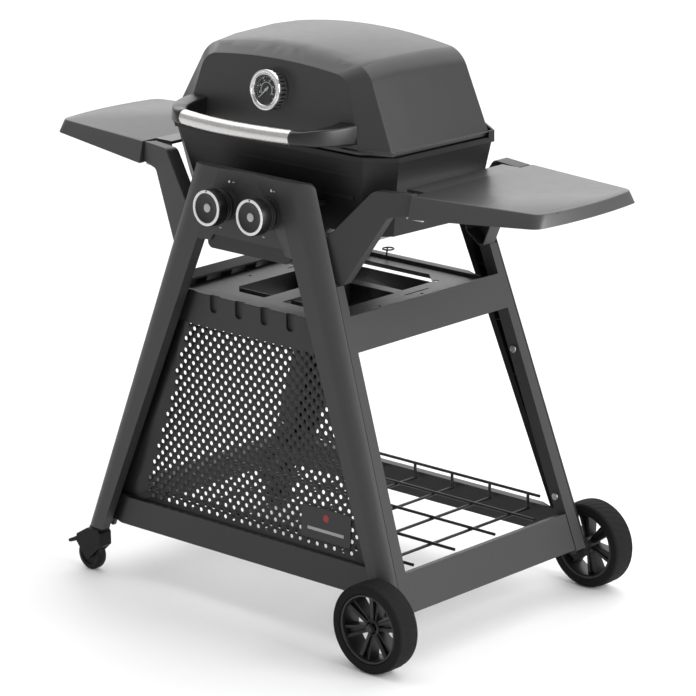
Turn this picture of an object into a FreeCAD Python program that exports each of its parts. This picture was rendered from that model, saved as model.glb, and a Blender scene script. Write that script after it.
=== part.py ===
import FreeCAD, Part
import math
import os

import Sketcher

# Gas barbecue grill on a four-legged cart, in millimetres.
# +X is the grill's right, +Y its back, +Z up; the origin is on the floor under its middle.
# The cart is two leaning A-frames (front and rear) joined by splayed side frames.

DRIVING_SIZES = {
    # A-frames: legs run inward as they rise, and both frames lean towards each other
    "foot_half": 443.2, "leg_slope": 0.3414, "frame_lean": 3.68, "seam_depth": 271.3,
    "leg_width": 45.0, "leg_widen": 0.043, "leg_depth": 20.0, "leg_deepen": 0.006,
    "round_width": 28.3, "round_widen": 0.0183, "shell_wall": 3.0,
    "leg_foot": 94.0, "frame_top": 859.0, "panel_bottom": 729.5, "panel_depth": 15.0,
    # side frames, bottom rails and beams
    "post_width": 30.0, "post_narrow": 0.0129, "post_top": 676.0, "side_thick": 27.0,
    "beam_top": 620.3, "beam_bottom": 556.3, "low_top": 165.6, "low_bottom": 96.5,
    "rail_top": 167.0, "rail_bottom": 111.0, "rail_thick": 22.0,
    # shelves and their arms
    "shelf_top": 858.0, "shelf_tip": 606.0, "shelf_skirt": 5.0, "seam_x": 344.5,
    "shelf_inner": 302.0, "pivot_x": 345.5, "pivot_z": 816.5,
    # running gear
    "wheel_radius": 85.0, "wheel_x": 385.0, "wheel_face": 332.0, "wheel_width": 40.0,
    "axle_radius": 5.0, "caster_x": 388.0, "caster_y": 267.0, "caster_trail": 22.0,
    "caster_radius": 31.0, "caster_width": 20.0,
    # cooking head
    "rim_top": 914.0, "rim_thick": 9.0, "lid_rim": 916.0, "casting_wall": 4.0,
    "hinge_y": 167.0, "hinge_z": 931.0, "grate_top": 890.0,
    # controls and fittings
    "knob_x": 55.5, "knob_z": 790.6, "knob_radius": 36.0, "knob_length": 42.0,
    "dial_radius": 39.0, "handle_z": 950.0, "handle_radius": 14.0,
}


class Size:
    """A length that carries both its number and the sheet formula it comes from."""

    def __init__(self, value, text):
        self.value = float(value)
        self.text = text

    def combine(self, other, sign, value):
        return Size(value, "(%s %s %s)" % (self.text, sign, other.text))

    def __add__(self, other):
        other = as_size(other)
        return self.combine(other, "+", self.value + other.value)

    def __sub__(self, other):
        other = as_size(other)
        return self.combine(other, "-", self.value - other.value)

    def __mul__(self, other):
        other = as_size(other)
        return self.combine(other, "*", self.value * other.value)

    def __truediv__(self, other):
        other = as_size(other)
        return self.combine(other, "/", self.value / other.value)

    def __radd__(self, other):
        return as_size(other) + self

    def __rsub__(self, other):
        return as_size(other) - self

    def __rmul__(self, other):
        return as_size(other) * self

    def __neg__(self):
        return as_size(-1.0) * self


def as_size(number):
    if isinstance(number, Size):
        return number
    return Size(number, "(%r)" % float(number))


def root(number):
    return Size(math.sqrt(number.value), "sqrt(%s)" % number.text)


doc = FreeCAD.newDocument("gas_barbecue_grill")
sheet = doc.addObject("Spreadsheet::Sheet", "dims")
dim = {}
for row, (word, number) in enumerate(DRIVING_SIZES.items(), start=1):
    cell = "B%d" % row
    sheet.set("A%d" % row, word)
    sheet.set(cell, str(number))
    sheet.setAlias(cell, word)
    dim[word] = Size(number, "dims.%s" % word)
doc.recompute()

Vector = FreeCAD.Vector
Rotation = FreeCAD.Rotation
Placement = FreeCAD.Placement
nodes = {}


# ---------------------------------------------------------------- building blocks

def bind(thing, place, number):
    thing.setExpression(place, as_size(number).text)


def keep(name, thing, placement=None):
    """Give a finished piece its name and its place, and keep it for export."""
    thing.Label = name
    if placement is not None:
        thing.Placement = placement
    nodes[name] = thing
    return thing


def new_body(name):
    return doc.addObject("PartDesign::Body", name + "_body")


def new_sketch(body, plane, offset=0.0, up=0.0, tilt=0.0):
    """A sketch on one of the body's own planes, moved off it, up it, and tipped about X."""
    features = body.Origin.OriginFeatures
    support = [f for f in features if getattr(f, "Role", "") == plane + "_Plane"][0]
    sketch = body.newObject("Sketcher::SketchObject", "sketch")
    sketch.AttachmentSupport = (support, [""])
    sketch.MapMode = "FlatFace"
    sketch.AttachmentOffset = Placement(Vector(), Rotation(Vector(1, 0, 0), tilt))
    bind(sketch, "AttachmentOffset.Base.z", offset)
    bind(sketch, "AttachmentOffset.Base.y", up)
    return sketch


def arc_through(start, end, radius):
    """The short arc from start to end; a positive radius turns left, a negative one right."""
    middle = (start + end) * 0.5
    half = (end - start) * 0.5
    rise = math.sqrt(max(radius * radius - half.Length ** 2, 0.0))
    left = Vector(-half.y, half.x, 0).normalize()
    centre = middle + left * (rise if radius > 0 else -rise)
    first = math.atan2(start.y - centre.y, start.x - centre.x)
    last = math.atan2(end.y - centre.y, end.x - centre.x)
    if radius < 0:
        first, last = last, first
    if last < first:
        last += 2 * math.pi
    circle = Part.Circle(centre, Vector(0, 0, 1), abs(radius))
    return Part.ArcOfCircle(circle, first, last)


def draw_outline(sketch, corners):
    """A closed outline; a corner is (x, y), or (x, y, radius) where an arc starts."""
    count = len(corners)
    points = [Vector(as_size(c[0]).value, as_size(c[1]).value, 0) for c in corners]
    ends = []
    for index, corner in enumerate(corners):
        start, end = points[index], points[(index + 1) % count]
        if len(corner) == 3:
            radius = as_size(corner[2])
            edge = sketch.addGeometry(arc_through(start, end, radius.value), False)
            ends.append((edge, 1, 2) if radius.value > 0 else (edge, 2, 1))
        else:
            edge = sketch.addGeometry(Part.LineSegment(start, end), False)
            ends.append((edge, 1, 2))
    for index in range(count):
        here, after = ends[index], ends[(index + 1) % count]
        sketch.addConstraint(Sketcher.Constraint("Coincident", here[0], here[2], after[0], after[1]))
    for index, corner in enumerate(corners):
        edge, near, _ = ends[index]
        for kind, number, value in (("DistanceX", corner[0], points[index].x),
                                    ("DistanceY", corner[1], points[index].y)):
            rule = sketch.addConstraint(Sketcher.Constraint(kind, -1, 1, edge, near, value))
            bind(sketch, "Constraints[%d]" % rule, number)
        if len(corner) == 3:
            radius = as_size(corner[2])
            positive = radius if radius.value > 0 else -radius
            rule = sketch.addConstraint(Sketcher.Constraint("Radius", edge, positive.value))
            bind(sketch, "Constraints[%d]" % rule, positive)
    return sketch


def draw_circle(sketch, x, y, radius):
    centre = Vector(as_size(x).value, as_size(y).value, 0)
    circle = Part.Circle(centre, Vector(0, 0, 1), as_size(radius).value)
    edge = sketch.addGeometry(circle, False)
    for kind, number, value in (("DistanceX", x, centre.x), ("DistanceY", y, centre.y)):
        rule = sketch.addConstraint(Sketcher.Constraint(kind, -1, 1, edge, 3, value))
        bind(sketch, "Constraints[%d]" % rule, number)
    rule = sketch.addConstraint(Sketcher.Constraint("Radius", edge, as_size(radius).value))
    bind(sketch, "Constraints[%d]" % rule, radius)
    return sketch


def pad(body, sketch, length, backwards=False, both=False):
    feature = body.newObject("PartDesign::Pad", "pad")
    feature.Profile = sketch
    bind(feature, "Length", length)
    feature.Reversed = backwards
    feature.Midplane = both
    return feature


def pocket(body, sketch, length, backwards=False, both=False):
    feature = body.newObject("PartDesign::Pocket", "pocket")
    feature.Profile = sketch
    bind(feature, "Length", length)
    feature.Reversed = backwards
    feature.Midplane = both
    return feature


def revolve(body, sketch, axis, kind="Revolution"):
    feature = body.newObject("PartDesign::" + kind, kind.lower())
    feature.Profile = sketch
    feature.ReferenceAxis = (sketch, [axis])
    feature.Angle = 360.0
    return feature


def loft(body, sketches, cutting=False):
    kind = "PartDesign::SubtractiveLoft" if cutting else "PartDesign::AdditiveLoft"
    feature = body.newObject(kind, "loft")
    feature.Profile = sketches[0]
    feature.Sections = sketches[1:]
    feature.Ruled = True
    return feature


def mirror_across(body, features, plane="YZ"):
    planes = body.Origin.OriginFeatures
    support = [f for f in planes if getattr(f, "Role", "") == plane + "_Plane"][0]
    feature = body.newObject("PartDesign::Mirrored", "mirrored")
    feature.Originals = features
    feature.MirrorPlane = (support, [""])
    body.Tip = feature
    return feature


def ring_of(body, features, count, axis_role="Y_Axis"):
    axes = body.Origin.OriginFeatures
    support = [f for f in axes if getattr(f, "Role", "") == axis_role][0]
    feature = body.newObject("PartDesign::PolarPattern", "ring")
    feature.Originals = features
    feature.Axis = (support, [""])
    feature.Angle = 360.0
    feature.Occurrences = count
    body.Tip = feature
    return feature


def round_edges(body, radius, test):
    """Fillet the edges of the body's last shape that pass the test."""
    doc.recompute()
    base = body.Tip
    names = ["Edge%d" % (i + 1) for i, edge in enumerate(base.Shape.Edges) if test(edge)]
    feature = body.newObject("PartDesign::Fillet", "fillet")
    feature.Base = (base, names)
    bind(feature, "Radius", radius)
    return feature


def upright(edge, lean=0.2):
    """True for an edge that runs mostly up."""
    start, end = edge.Vertexes[0].Point, edge.Vertexes[-1].Point
    run = end - start
    return run.Length > 1.0 and math.hypot(run.x, run.y) < lean * run.Length


def block(corner, sides):
    """A Part box from its lowest corner and its three side lengths."""
    thing = doc.addObject("Part::Box", "block")
    for place, number in zip(("x", "y", "z"), corner):
        bind(thing, "Placement.Base." + place, number)
    for place, number in zip(("Length", "Width", "Height"), sides):
        bind(thing, place, number)
    return thing


def rod(start, axis, length, radius):
    """A Part cylinder from a start point along an axis."""
    thing = doc.addObject("Part::Cylinder", "rod")
    thing.Placement = Placement(Vector(), Rotation(Vector(0, 0, 1), Vector(*axis)))
    for place, number in zip(("x", "y", "z"), start):
        bind(thing, "Placement.Base." + place, number)
    bind(thing, "Height", length)
    bind(thing, "Radius", radius)
    return thing


def fused(things):
    result = doc.addObject("Part::MultiFuse", "fused")
    result.Shapes = things
    return result


def without(base, tool):
    result = doc.addObject("Part::Cut", "cut")
    result.Base = base
    result.Tool = tool
    return result


def grouped(things):
    result = doc.addObject("Part::Compound", "group")
    result.Links = things
    return result


# ---------------------------------------------------------------- shared places

LEAN = DRIVING_SIZES["frame_lean"]
FRONT = Placement(Vector(0, -DRIVING_SIZES["seam_depth"], 0), Rotation(Vector(1, 0, 0), -LEAN))
HALF_TURN = Placement(Vector(), Rotation(Vector(0, 0, 1), 180))
REAR = HALF_TURN.multiply(FRONT)
SPLAY = math.degrees(math.atan(DRIVING_SIZES["leg_slope"] / math.cos(math.radians(LEAN))))


def leg_outside(up):
    return dim["foot_half"] - dim["leg_slope"] * up


def leg_width(up):
    return dim["leg_width"] + dim["leg_widen"] * up


def leg_inside(up):
    return leg_outside(up) - leg_width(up)


def leg_depth(up):
    return dim["leg_depth"] + dim["leg_deepen"] * up


def leg_section(up, inset):
    """Leg outline seen from above: flat front, inner wall, outer corner rounded to the seam."""
    depth = leg_depth(up)
    span = dim["round_width"] + dim["round_widen"] * up
    radius = (span * span + depth * depth) / (depth * 2)
    start = leg_outside(up) - span
    if inset is None:
        return [(start, -depth, radius), (leg_outside(up), 0), (leg_inside(up), 0),
                (leg_inside(up), -depth)]
    reach = root((radius - inset) * (radius - inset) - (radius - depth) * (radius - depth))
    return [(start, inset - depth, radius - inset), (start + reach, 0), (start + reach, 2),
            (leg_inside(up) + inset, 2), (leg_inside(up) + inset, inset - depth)]


# ---------------------------------------------------------------- A-frames

def round_top_corners(body):
    """Cuts the A-frame's two outer top corners back to a radius."""
    top = dim["frame_top"]
    corner, radius = leg_outside(top), 16.0
    along_top, side_in, side_down = 11.45, 3.7, 10.84
    for side in (-1, 1):
        cut = new_sketch(body, "XZ", -5.0)
        outline = [((corner + side_in) * side, top - side_down, radius), ((corner - along_top) * side, top),
                   ((corner - along_top) * side, top + 5), ((corner + 12) * side, top + 5),
                   ((corner + 12) * side, top - side_down)]
        if side < 0:
            outline[0] = (outline[0][0], outline[0][1], -radius)
        draw_outline(cut, outline)
        pocket(body, cut, dim["leg_depth"] * 3, backwards=True)


def a_frame(name, place, axle_side):
    """A leaning moulded A-frame: two hollow legs joined at the top by a plain panel."""
    body = new_body(name)
    foot, top = dim["leg_foot"], dim["frame_top"]
    wall = dim["shell_wall"]
    outer = [draw_outline(new_sketch(body, "XY", up), leg_section(up, None)) for up in (foot, top)]
    leg = loft(body, outer)
    hollow_ends = (foot + 40, top - wall)
    inner = [draw_outline(new_sketch(body, "XY", up), leg_section(up, wall)) for up in hollow_ends]
    hollow = loft(body, inner, cutting=True)
    both_legs = mirror_across(body, [leg, hollow])
    doc.recompute()

    # the panel between the legs, with its rounded lower corners
    bottom, depth = dim["panel_bottom"], dim["panel_depth"]
    corner = 30.0
    low = bottom - corner
    panel = new_sketch(body, "XZ", depth - wall)
    right_low, right_in = leg_inside(low) + 2, leg_inside(bottom) - corner
    draw_outline(panel, [(right_in, bottom, -45.0), (right_low, low), (leg_inside(top) + 2, top),
                         (-leg_inside(top) - 2, top), (-right_low, low, -45.0), (-right_in, bottom)])
    pad(body, panel, wall)
    # a soft step from each leg down to the panel
    steps = []
    for up, reach in ((bottom - 12, 26.0), (top, 60.0)):
        step = new_sketch(body, "XY", up)
        edge = leg_inside(up)
        draw_outline(step, [(edge + 1, -leg_depth(up)), (edge + 1, wall - depth),
                            (edge - reach, wall - depth), (edge - reach, -depth)])
        steps.append(step)
    step_loft = loft(body, steps)
    mirror_across(body, [step_loft])
    # the top flange that closes the frame from above
    flange = new_sketch(body, "XZ", 0.0)
    reach = leg_inside(top) + 2
    draw_outline(flange, [(-reach, top - wall), (reach, top - wall), (reach, top), (-reach, top)])
    pad(body, flange, depth)
    # stiffening ribs across each leg's open back
    ribs = []
    for number in range(5):
        up = foot + 110 + number * 105
        rib = new_sketch(body, "XY", up)
        section = leg_section(up, wall - 0.5)
        section[1] = (section[1][0], -0.2)
        section[2] = (section[1][0], -0.2)
        draw_outline(rib, [section[0], section[1], (section[3][0], -0.2), section[4]])
        ribs.append(pad(body, rib, 2.5))
    mirror_across(body, ribs)
    # wheel axle boss under the foot on the wheel side
    boss = new_sketch(body, "XZ", 0.0)
    draw_circle(boss, dim["wheel_x"] * axle_side, dim["wheel_radius"], 21.0)
    pad(body, boss, dim["leg_depth"])
    round_top_corners(body)
    if name == "front_frame":
        for side in (-1, 1):
            collar = new_sketch(body, "XZ", depth - wall)
            draw_circle(collar, dim["knob_x"] * side, dim["knob_z"], dim["knob_radius"] - 6)
            pad(body, collar, wall + 10.0)
            hole = new_sketch(body, "XZ", 0.0)
            draw_circle(hole, dim["knob_x"] * side, dim["knob_z"], 8.0)
            pocket(body, hole, dim["panel_depth"] * 2, backwards=True)
    bore = new_sketch(body, "XZ", 0.0)
    draw_circle(bore, dim["wheel_x"] * axle_side, dim["wheel_radius"], dim["axle_radius"] + 2)
    pocket(body, bore, dim["leg_depth"] * 4, backwards=True, both=False)
    return keep(name, body, place)


a_frame("front_frame", FRONT, 1)
a_frame("rear_frame", REAR, -1)


# ---------------------------------------------------------------- cart structure

SPLAY_COS = math.cos(math.radians(SPLAY))
LEAN_TAN = math.tan(math.radians(LEAN))
RIGHT = Placement(Vector(DRIVING_SIZES["foot_half"], 0, 0), Rotation(Vector(0, 1, 0), -SPLAY))
LEFT = HALF_TURN.multiply(RIGHT)
SEAM_GAP = 1.2
RAIL_FACE = 6.0
RAIL_BODY = 12.5
BOLT_HEIGHTS = (200.0, 480.0)


def seam(z):
    """Distance from the middle plane to the joint between a side frame and an A-frame."""
    return dim["seam_depth"] - as_size(z) * LEAN_TAN - SEAM_GAP


def post_inside(z):
    return seam(z) - dim["post_width"] + as_size(z) * dim["post_narrow"] + SEAM_GAP


def along(z):
    """Height measured along the splayed side frame."""
    return as_size(z) / SPLAY_COS


def side_frame(name, place, foot_gap):
    """Front post, rear post and the wide upper beam, moulded in one piece."""
    body = new_body(name)
    low, high = dim["leg_foot"] + foot_gap, dim["post_top"]
    under, over = dim["beam_bottom"], dim["beam_top"]
    sketch = new_sketch(body, "YZ", -dim["side_thick"])
    draw_outline(sketch, [
        (-seam(low), along(low)), (-post_inside(low), along(low)),
        (-post_inside(under), along(under)), (post_inside(under), along(under)),
        (post_inside(low), along(low)), (seam(low), along(low)),
        (seam(high), along(high)), (post_inside(high), along(high)),
        (post_inside(over), along(over)), (-post_inside(over), along(over)),
        (-post_inside(high), along(high)), (-seam(high), along(high))])
    pad(body, sketch, dim["side_thick"])
    hollow = new_sketch(body, "YZ", -dim["side_thick"])
    wall = 4.0
    draw_outline(hollow, [
        (-post_inside(under), along(under + wall)), (post_inside(under), along(under + wall)),
        (post_inside(over), along(over - wall)), (-post_inside(over), along(over - wall))])
    pocket(body, hollow, dim["side_thick"] - wall, backwards=True)
    ribs = []
    for number in range(-2, 3):
        rib = new_sketch(body, "YZ", -dim["side_thick"])
        middle = number * 68.0
        draw_outline(rib, [(middle - 1.5, along(under + 2)), (middle + 1.5, along(under + 2)),
                           (middle + 1.5, along(over - 2)), (middle - 1.5, along(over - 2))])
        ribs.append(pad(body, rib, dim["side_thick"] - wall / 2))
    for up in BOLT_HEIGHTS:
        bore = new_sketch(body, "XZ", 0.0)
        draw_circle(bore, dim["side_thick"] * -0.5, along(up), 4.1)
        pocket(body, bore, 700.0, both=True)
    return keep(name, body, place)


def lower_beam(name, place):
    """The bottom side member that sits between the two posts."""
    body = new_body(name)
    low, high = dim["low_bottom"], dim["low_top"]
    gap = 0.8
    sketch = new_sketch(body, "YZ", -dim["side_thick"] - 2)
    draw_outline(sketch, [(gap - post_inside(low), along(low)), (post_inside(low) - gap, along(low)),
                          (post_inside(high) - gap, along(high)),
                          (gap - post_inside(high), along(high))])
    pad(body, sketch, dim["side_thick"] + 1.2)
    hollow = new_sketch(body, "YZ", -dim["side_thick"] - 2)
    wall = 4.0
    draw_outline(hollow, [(10 - post_inside(low), along(low - 1)), (post_inside(low) - 10, along(low - 1)),
                          (post_inside(high) - 10, along(high - wall)),
                          (10 - post_inside(high), along(high - wall))])
    pocket(body, hollow, dim["side_thick"] - wall, backwards=True)
    return keep(name, body, place)


def rail(name, place, low, high, hooks=0):
    """A cross rail between the legs whose face is raised and ends in slanted facets."""
    body = new_body(name)
    back = new_sketch(body, "XZ", -(RAIL_FACE + RAIL_BODY))
    spread = 18.0
    draw_outline(back, [(-leg_inside(low) - spread, low), (leg_inside(low) + spread, low),
                        (leg_inside(high) + spread, high), (-leg_inside(high) - spread, high)])
    pad(body, back, RAIL_BODY - 5)
    faces = []
    for forward, inset in ((-(RAIL_FACE + 5.5), 2.0), (-RAIL_FACE + 4.0, 24.0)):
        face = new_sketch(body, "XZ", forward)
        draw_outline(face, [(inset - leg_inside(low), low), (leg_inside(low) - inset, low),
                            (leg_inside(high) - inset, high), (inset - leg_inside(high), high)])
        faces.append(face)
    loft(body, faces)
    if hooks:
        lip = new_sketch(body, "XZ", -37.0)
        draw_outline(lip, [(24 - leg_inside(high), high - 3), (leg_inside(high) - 24, high - 3),
                           (leg_inside(high) - 24, high), (24 - leg_inside(high), high)])
        pad(body, lip, 21.0)
        for number in range(hooks):
            middle = (number - (hooks - 1) / 2) * 66.0
            notch = new_sketch(body, "XZ", -RAIL_FACE + 5)
            draw_outline(notch, [(middle - 9, high - 26, 9.5), (middle + 9, high - 26),
                                 (middle + 11, high + 1), (middle - 11, high + 1)])
            pocket(body, notch, 7.0)
    return keep(name, body, place)


def perforated_panel():
    """The flat sheet between the front legs; its holes are punched in rows."""
    body = new_body("perforated_panel")
    low, high = dim["rail_bottom"] + 30, dim["beam_bottom"] + 10
    sketch = new_sketch(body, "XZ", -(RAIL_FACE + RAIL_BODY + 2.0))
    spread = 16.0
    draw_outline(sketch, [(-leg_inside(low) - spread, low), (leg_inside(low) + spread, low),
                          (leg_inside(high) + spread, high), (-leg_inside(high) - spread, high)])
    pad(body, sketch, 1.5)
    return keep("perforated_panel", body, FRONT)


def badge_plate():
    """A small plain rectangular plate riveted on the perforated panel."""
    body = new_body("badge_plate")
    sketch = new_sketch(body, "XZ", -(RAIL_FACE + RAIL_BODY + 0.5))
    radius = 5.0
    left, right, low, high = 133.0, 258.0, 187.0, 250.0
    draw_outline(sketch, [(left, low + radius, radius), (left + radius, low), (right - radius, low, radius),
                          (right, low + radius), (right, high - radius, radius), (right - radius, high),
                          (left + radius, high, radius), (left, high - radius)])
    pad(body, sketch, 3.0)
    return keep("badge_plate", body, FRONT)


def equipment_tray():
    """Sheet-metal tray between the upper beams, with three large cut-outs and side slots."""
    body = new_body("equipment_tray")
    top, deep, sheet_metal = 599.5, 18.0, 2.0
    half_x, half_y = 205.0, 207.0
    plate = new_sketch(body, "XY", top - deep)
    draw_outline(plate, [(-half_x, -half_y), (half_x, -half_y), (half_x, half_y), (-half_x, half_y)])
    pad(body, plate, deep)
    under = new_sketch(body, "XY", top - deep)
    inner_x, inner_y = half_x - sheet_metal, half_y - sheet_metal
    draw_outline(under, [(-inner_x, -inner_y), (inner_x, -inner_y), (inner_x, inner_y),
                         (-inner_x, inner_y)])
    pocket(body, under, deep - sheet_metal, backwards=True)
    cuts = [
        [(-125, 53), (125, 53), (125, 140), (85, 177), (-85, 177), (-125, 140)],
        [(12, -160), (100, -160), (128, -132), (128, 28), (12, 28)],
        [(-128, -132), (-100, -160), (-35, -160), (-35, 28), (-128, 28)],
    ]
    for side in (-1, 1):
        cuts.append([(side * 150, 29), (side * 154, 29), (side * 154, 98), (side * 150, 98)][::side])
    for corners in cuts:
        sketch = new_sketch(body, "XY", top)
        draw_outline(sketch, corners)
        pocket(body, sketch, 5.0)
    for side in (-1, 1):
        for x, y, radius in ((126, 150, 5.0), (168, 60, 3.5), (168, -60, 3.5)):
            sketch = new_sketch(body, "XY", top)
            draw_circle(sketch, side * x, y, radius)
            pocket(body, sketch, 5.0)
    return keep("equipment_tray", body)


def wire_shelf():
    """Welded grid of round wire between the bottom rails; the long wires turn up at the back."""
    wires = []
    level, radius = 160.0, 3.0
    for y in (-175.5, -58.5, 58.5, 175.5):
        wires.append(rod((-354, y, level), (1, 0, 0), 708, radius))
    for number in range(-3, 4):
        x = number * 97.0
        wires.append(rod((x, -236, level - 2 * radius + 1), (0, 1, 0), 472, radius))
        wires.append(rod((x, 233, level - 2 * radius), (0, 0, 1), 34, radius))
    wires.append(rod((-320, 233, level + 26), (1, 0, 0), 640, radius))
    return keep("wire_shelf", fused(wires))


def hose_ring():
    """Wire eye on a short stalk, standing on the rear cross rail."""
    loop = doc.addObject("Part::Torus", "loop")
    bind(loop, "Radius1", 11.0)
    bind(loop, "Radius2", 1.6)
    loop.Placement = Placement(Vector(-42, 200, 625), Rotation())
    stalk = rod((-58, 213, 606), (0.35, -0.28, 0.9), 21.0, 1.6)
    return keep("hose_ring", fused([loop, stalk]))


side_frame("right_side_frame", RIGHT, 0.0)
side_frame("left_side_frame", LEFT, 9.5)
lower_beam("right_lower_beam", RIGHT)
lower_beam("left_lower_beam", LEFT)
rail("front_bottom_rail", FRONT, dim["rail_bottom"], dim["rail_top"])
rail("rear_bottom_rail", REAR, dim["rail_bottom"], dim["rail_top"])
rail("rear_cross_rail", REAR, dim["beam_bottom"] + 30, dim["beam_bottom"] + 52)
rail("tool_rail", FRONT, dim["beam_bottom"] - 13, dim["beam_bottom"] + 50, hooks=4)
perforated_panel()
badge_plate()
equipment_tray()
wire_shelf()
hose_ring()


# ---------------------------------------------------------------- shelf arms and shelves

ARM_TURN = 13.86
ARM_LEAN = 4.72
ARM_FOOT = Vector(220.0, -213.0, 680.0)
ARM_OUTLINE = [(-1, -1), (-14.5, -4), (-56, 18), (-55, 70), (-28, 96), (45, 172), (50, 176), (57, 178.5),
               (129.5, 178.5), (129.5, 139.5), (88, 133.5), (82, 130)]
ARM_DEPTH = 28.0


def shrink(corners, wall):
    """The outline moved inward by a wall; corners run clockwise."""
    result = []
    count = len(corners)
    for index in range(count):
        before, here, after = (Vector(*corners[(index + step) % count]) for step in (-1, 0, 1))
        one = (here - before).normalize()
        two = (after - here).normalize()
        normal_one = Vector(one.y, -one.x, 0)
        normal_two = Vector(two.y, -two.x, 0)
        bisector = (normal_one + normal_two).normalize()
        moved = here + bisector * (wall / bisector.dot(normal_one))
        result.append((moved.x, moved.y))
    return result


def shelf_arm(name, right_hand, place):
    """Cranked U-channel arm from the top of a side post to the shelf joint."""
    body = new_body(name)
    side = 1 if right_hand else -1
    sketch = new_sketch(body, "XZ", -ARM_DEPTH)
    outline = [(side * x, y) for x, y in ARM_OUTLINE]
    draw_outline(sketch, outline)
    pad(body, sketch, ARM_DEPTH)
    hollow = new_sketch(body, "XZ", -ARM_DEPTH)
    draw_outline(hollow, [(side * x, y) for x, y in shrink(ARM_OUTLINE, 3.0)])
    pocket(body, hollow, ARM_DEPTH - 3.0, backwards=True)
    turn = Rotation(Vector(0, 0, 1), side * ARM_TURN) * Rotation(Vector(1, 0, 0), -ARM_LEAN)
    foot = Vector(side * ARM_FOOT.x, ARM_FOOT.y, ARM_FOOT.z)
    return keep(name, body, place.multiply(Placement(foot, turn)))


STRAIGHT = Placement()
shelf_arm("front_right_arm", True, STRAIGHT)
shelf_arm("front_left_arm", False, STRAIGHT)
shelf_arm("rear_left_arm", True, HALF_TURN)
shelf_arm("rear_right_arm", False, HALF_TURN)

EAR_OUTER, EAR_INNER = 139.5, 127.0


def shelf_plan(x_in, y_in, x_tip, y_tip, bow):
    """Shelf outline from above: wide at the joint, narrower at a slightly bowed tip."""
    radius = (y_tip * y_tip + bow * bow) / (bow * 2)
    return [(x_in, -y_in), (x_tip, -y_tip, radius), (x_tip, y_tip), (x_in, y_in)]


def shelf(name, place):
    """Folding side shelf: thin top, drafted skirt that thins towards the tip, hinge tongue."""
    body = new_body(name)
    top, seam_x, tip = dim["shelf_top"], dim["seam_x"], dim["shelf_tip"]
    deep, bow = 46.0, 5.0
    draft_x, draft_y = 5.0, 22.0
    upper = draw_outline(new_sketch(body, "XY", top), shelf_plan(seam_x, 170.4, tip - bow, 131.4, bow))
    lower = draw_outline(new_sketch(body, "XY", top - deep),
                         shelf_plan(seam_x, 170.4 + draft_y * 0.5, tip + 2 * draft_x - bow,
                                    131.4 + draft_y, bow))
    loft(body, [upper, lower])
    wall, plate = 3.0, 3.0
    upper_in = draw_outline(new_sketch(body, "XY", top - plate),
                            shelf_plan(seam_x + wall, 167.8, tip - bow - wall, 129.6, bow))
    lower_in = draw_outline(new_sketch(body, "XY", top - deep - 2),
                            shelf_plan(seam_x + wall, 167.8 + draft_y * 0.5,
                                       tip + 2 * draft_x - bow - wall, 129.6 + draft_y, bow))
    loft(body, [upper_in, lower_in], cutting=True)
    under = new_sketch(body, "XZ", 0.0)
    draw_outline(under, [(seam_x - 5, top - deep - 10), (tip + 40, top - deep - 10),
                         (tip + 40, top - 18.5), (seam_x - 5, top - 40)])
    pocket(body, under, 500.0, both=True)
    tongue = new_sketch(body, "XY", top - 6)
    draw_outline(tongue, [(dim["shelf_inner"], -134), (seam_x + 8, -134), (seam_x + 8, 134),
                          (dim["shelf_inner"], 134)])
    pad(body, tongue, 6.0)
    for side in (-1, 1):
        notch = new_sketch(body, "YZ", seam_x - 2)
        draw_outline(notch, [(side * 124, top - 50), (side * 158, top - 50), (side * 158, top - 14),
                             (side * 124, top - 14)][::side])
        pocket(body, notch, 8.0, backwards=True)
        ear = new_sketch(body, "XZ", EAR_INNER if side < 0 else -EAR_OUTER)
        draw_outline(ear, [(dim["pivot_x"] - 8, dim["pivot_z"] - 2, 8.2), (dim["pivot_x"] + 8, dim["pivot_z"] - 2),
                           (dim["pivot_x"] + 14, top - 2), (dim["pivot_x"] - 8, top - 2)])
        pad(body, ear, EAR_OUTER - EAR_INNER)
        bore = new_sketch(body, "XZ", EAR_INNER - 5 if side < 0 else -EAR_OUTER - 5)
        draw_circle(bore, dim["pivot_x"], dim["pivot_z"], 4.08)
        pocket(body, bore, EAR_OUTER - EAR_INNER + 10, backwards=True)
    for y in (-90.0, -30.0, 30.0, 90.0):
        rib = new_sketch(body, "XZ", y)
        draw_outline(rib, [(seam_x + 1, top - 26), (tip - 16, top - 11), (tip - 2, top - 2),
                           (seam_x + 1, top - 2)])
        pad(body, rib, 2.4)
    return keep(name, body, place)


def hinge_pins(name, side):
    """Two hinge plates fixed in the arms, each with the pin that its shelf turns on."""
    pieces = []
    x, z = dim["pivot_x"] * side, dim["pivot_z"]
    for end in (-1, 1):
        plate = block((x - 30 if side > 0 else x - 9, 148.0 if end > 0 else -152.0, z - 9), (39, 4, 24))
        pin = rod((x, end * 151.0, z), (0, -end, 0), 27.0, 4.0)
        pieces.append(fused([plate, pin]))
    return pieces


shelf("right_shelf", STRAIGHT)
shelf("left_shelf", HALF_TURN)
keep("shelf_hinge_pins", grouped(hinge_pins("right", 1) + hinge_pins("left", -1)))


# ---------------------------------------------------------------- wheels and casters

def wheel_places():
    x, face, width, high = (DRIVING_SIZES[word] for word in
                            ("wheel_x", "wheel_face", "wheel_width", "wheel_radius"))
    front = Placement(Vector(x, width - face, high), Rotation())
    rear = Placement(Vector(x, face - width, high), Rotation(Vector(0, 0, 1), 180))
    return (("front", front), ("rear", rear))


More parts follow.
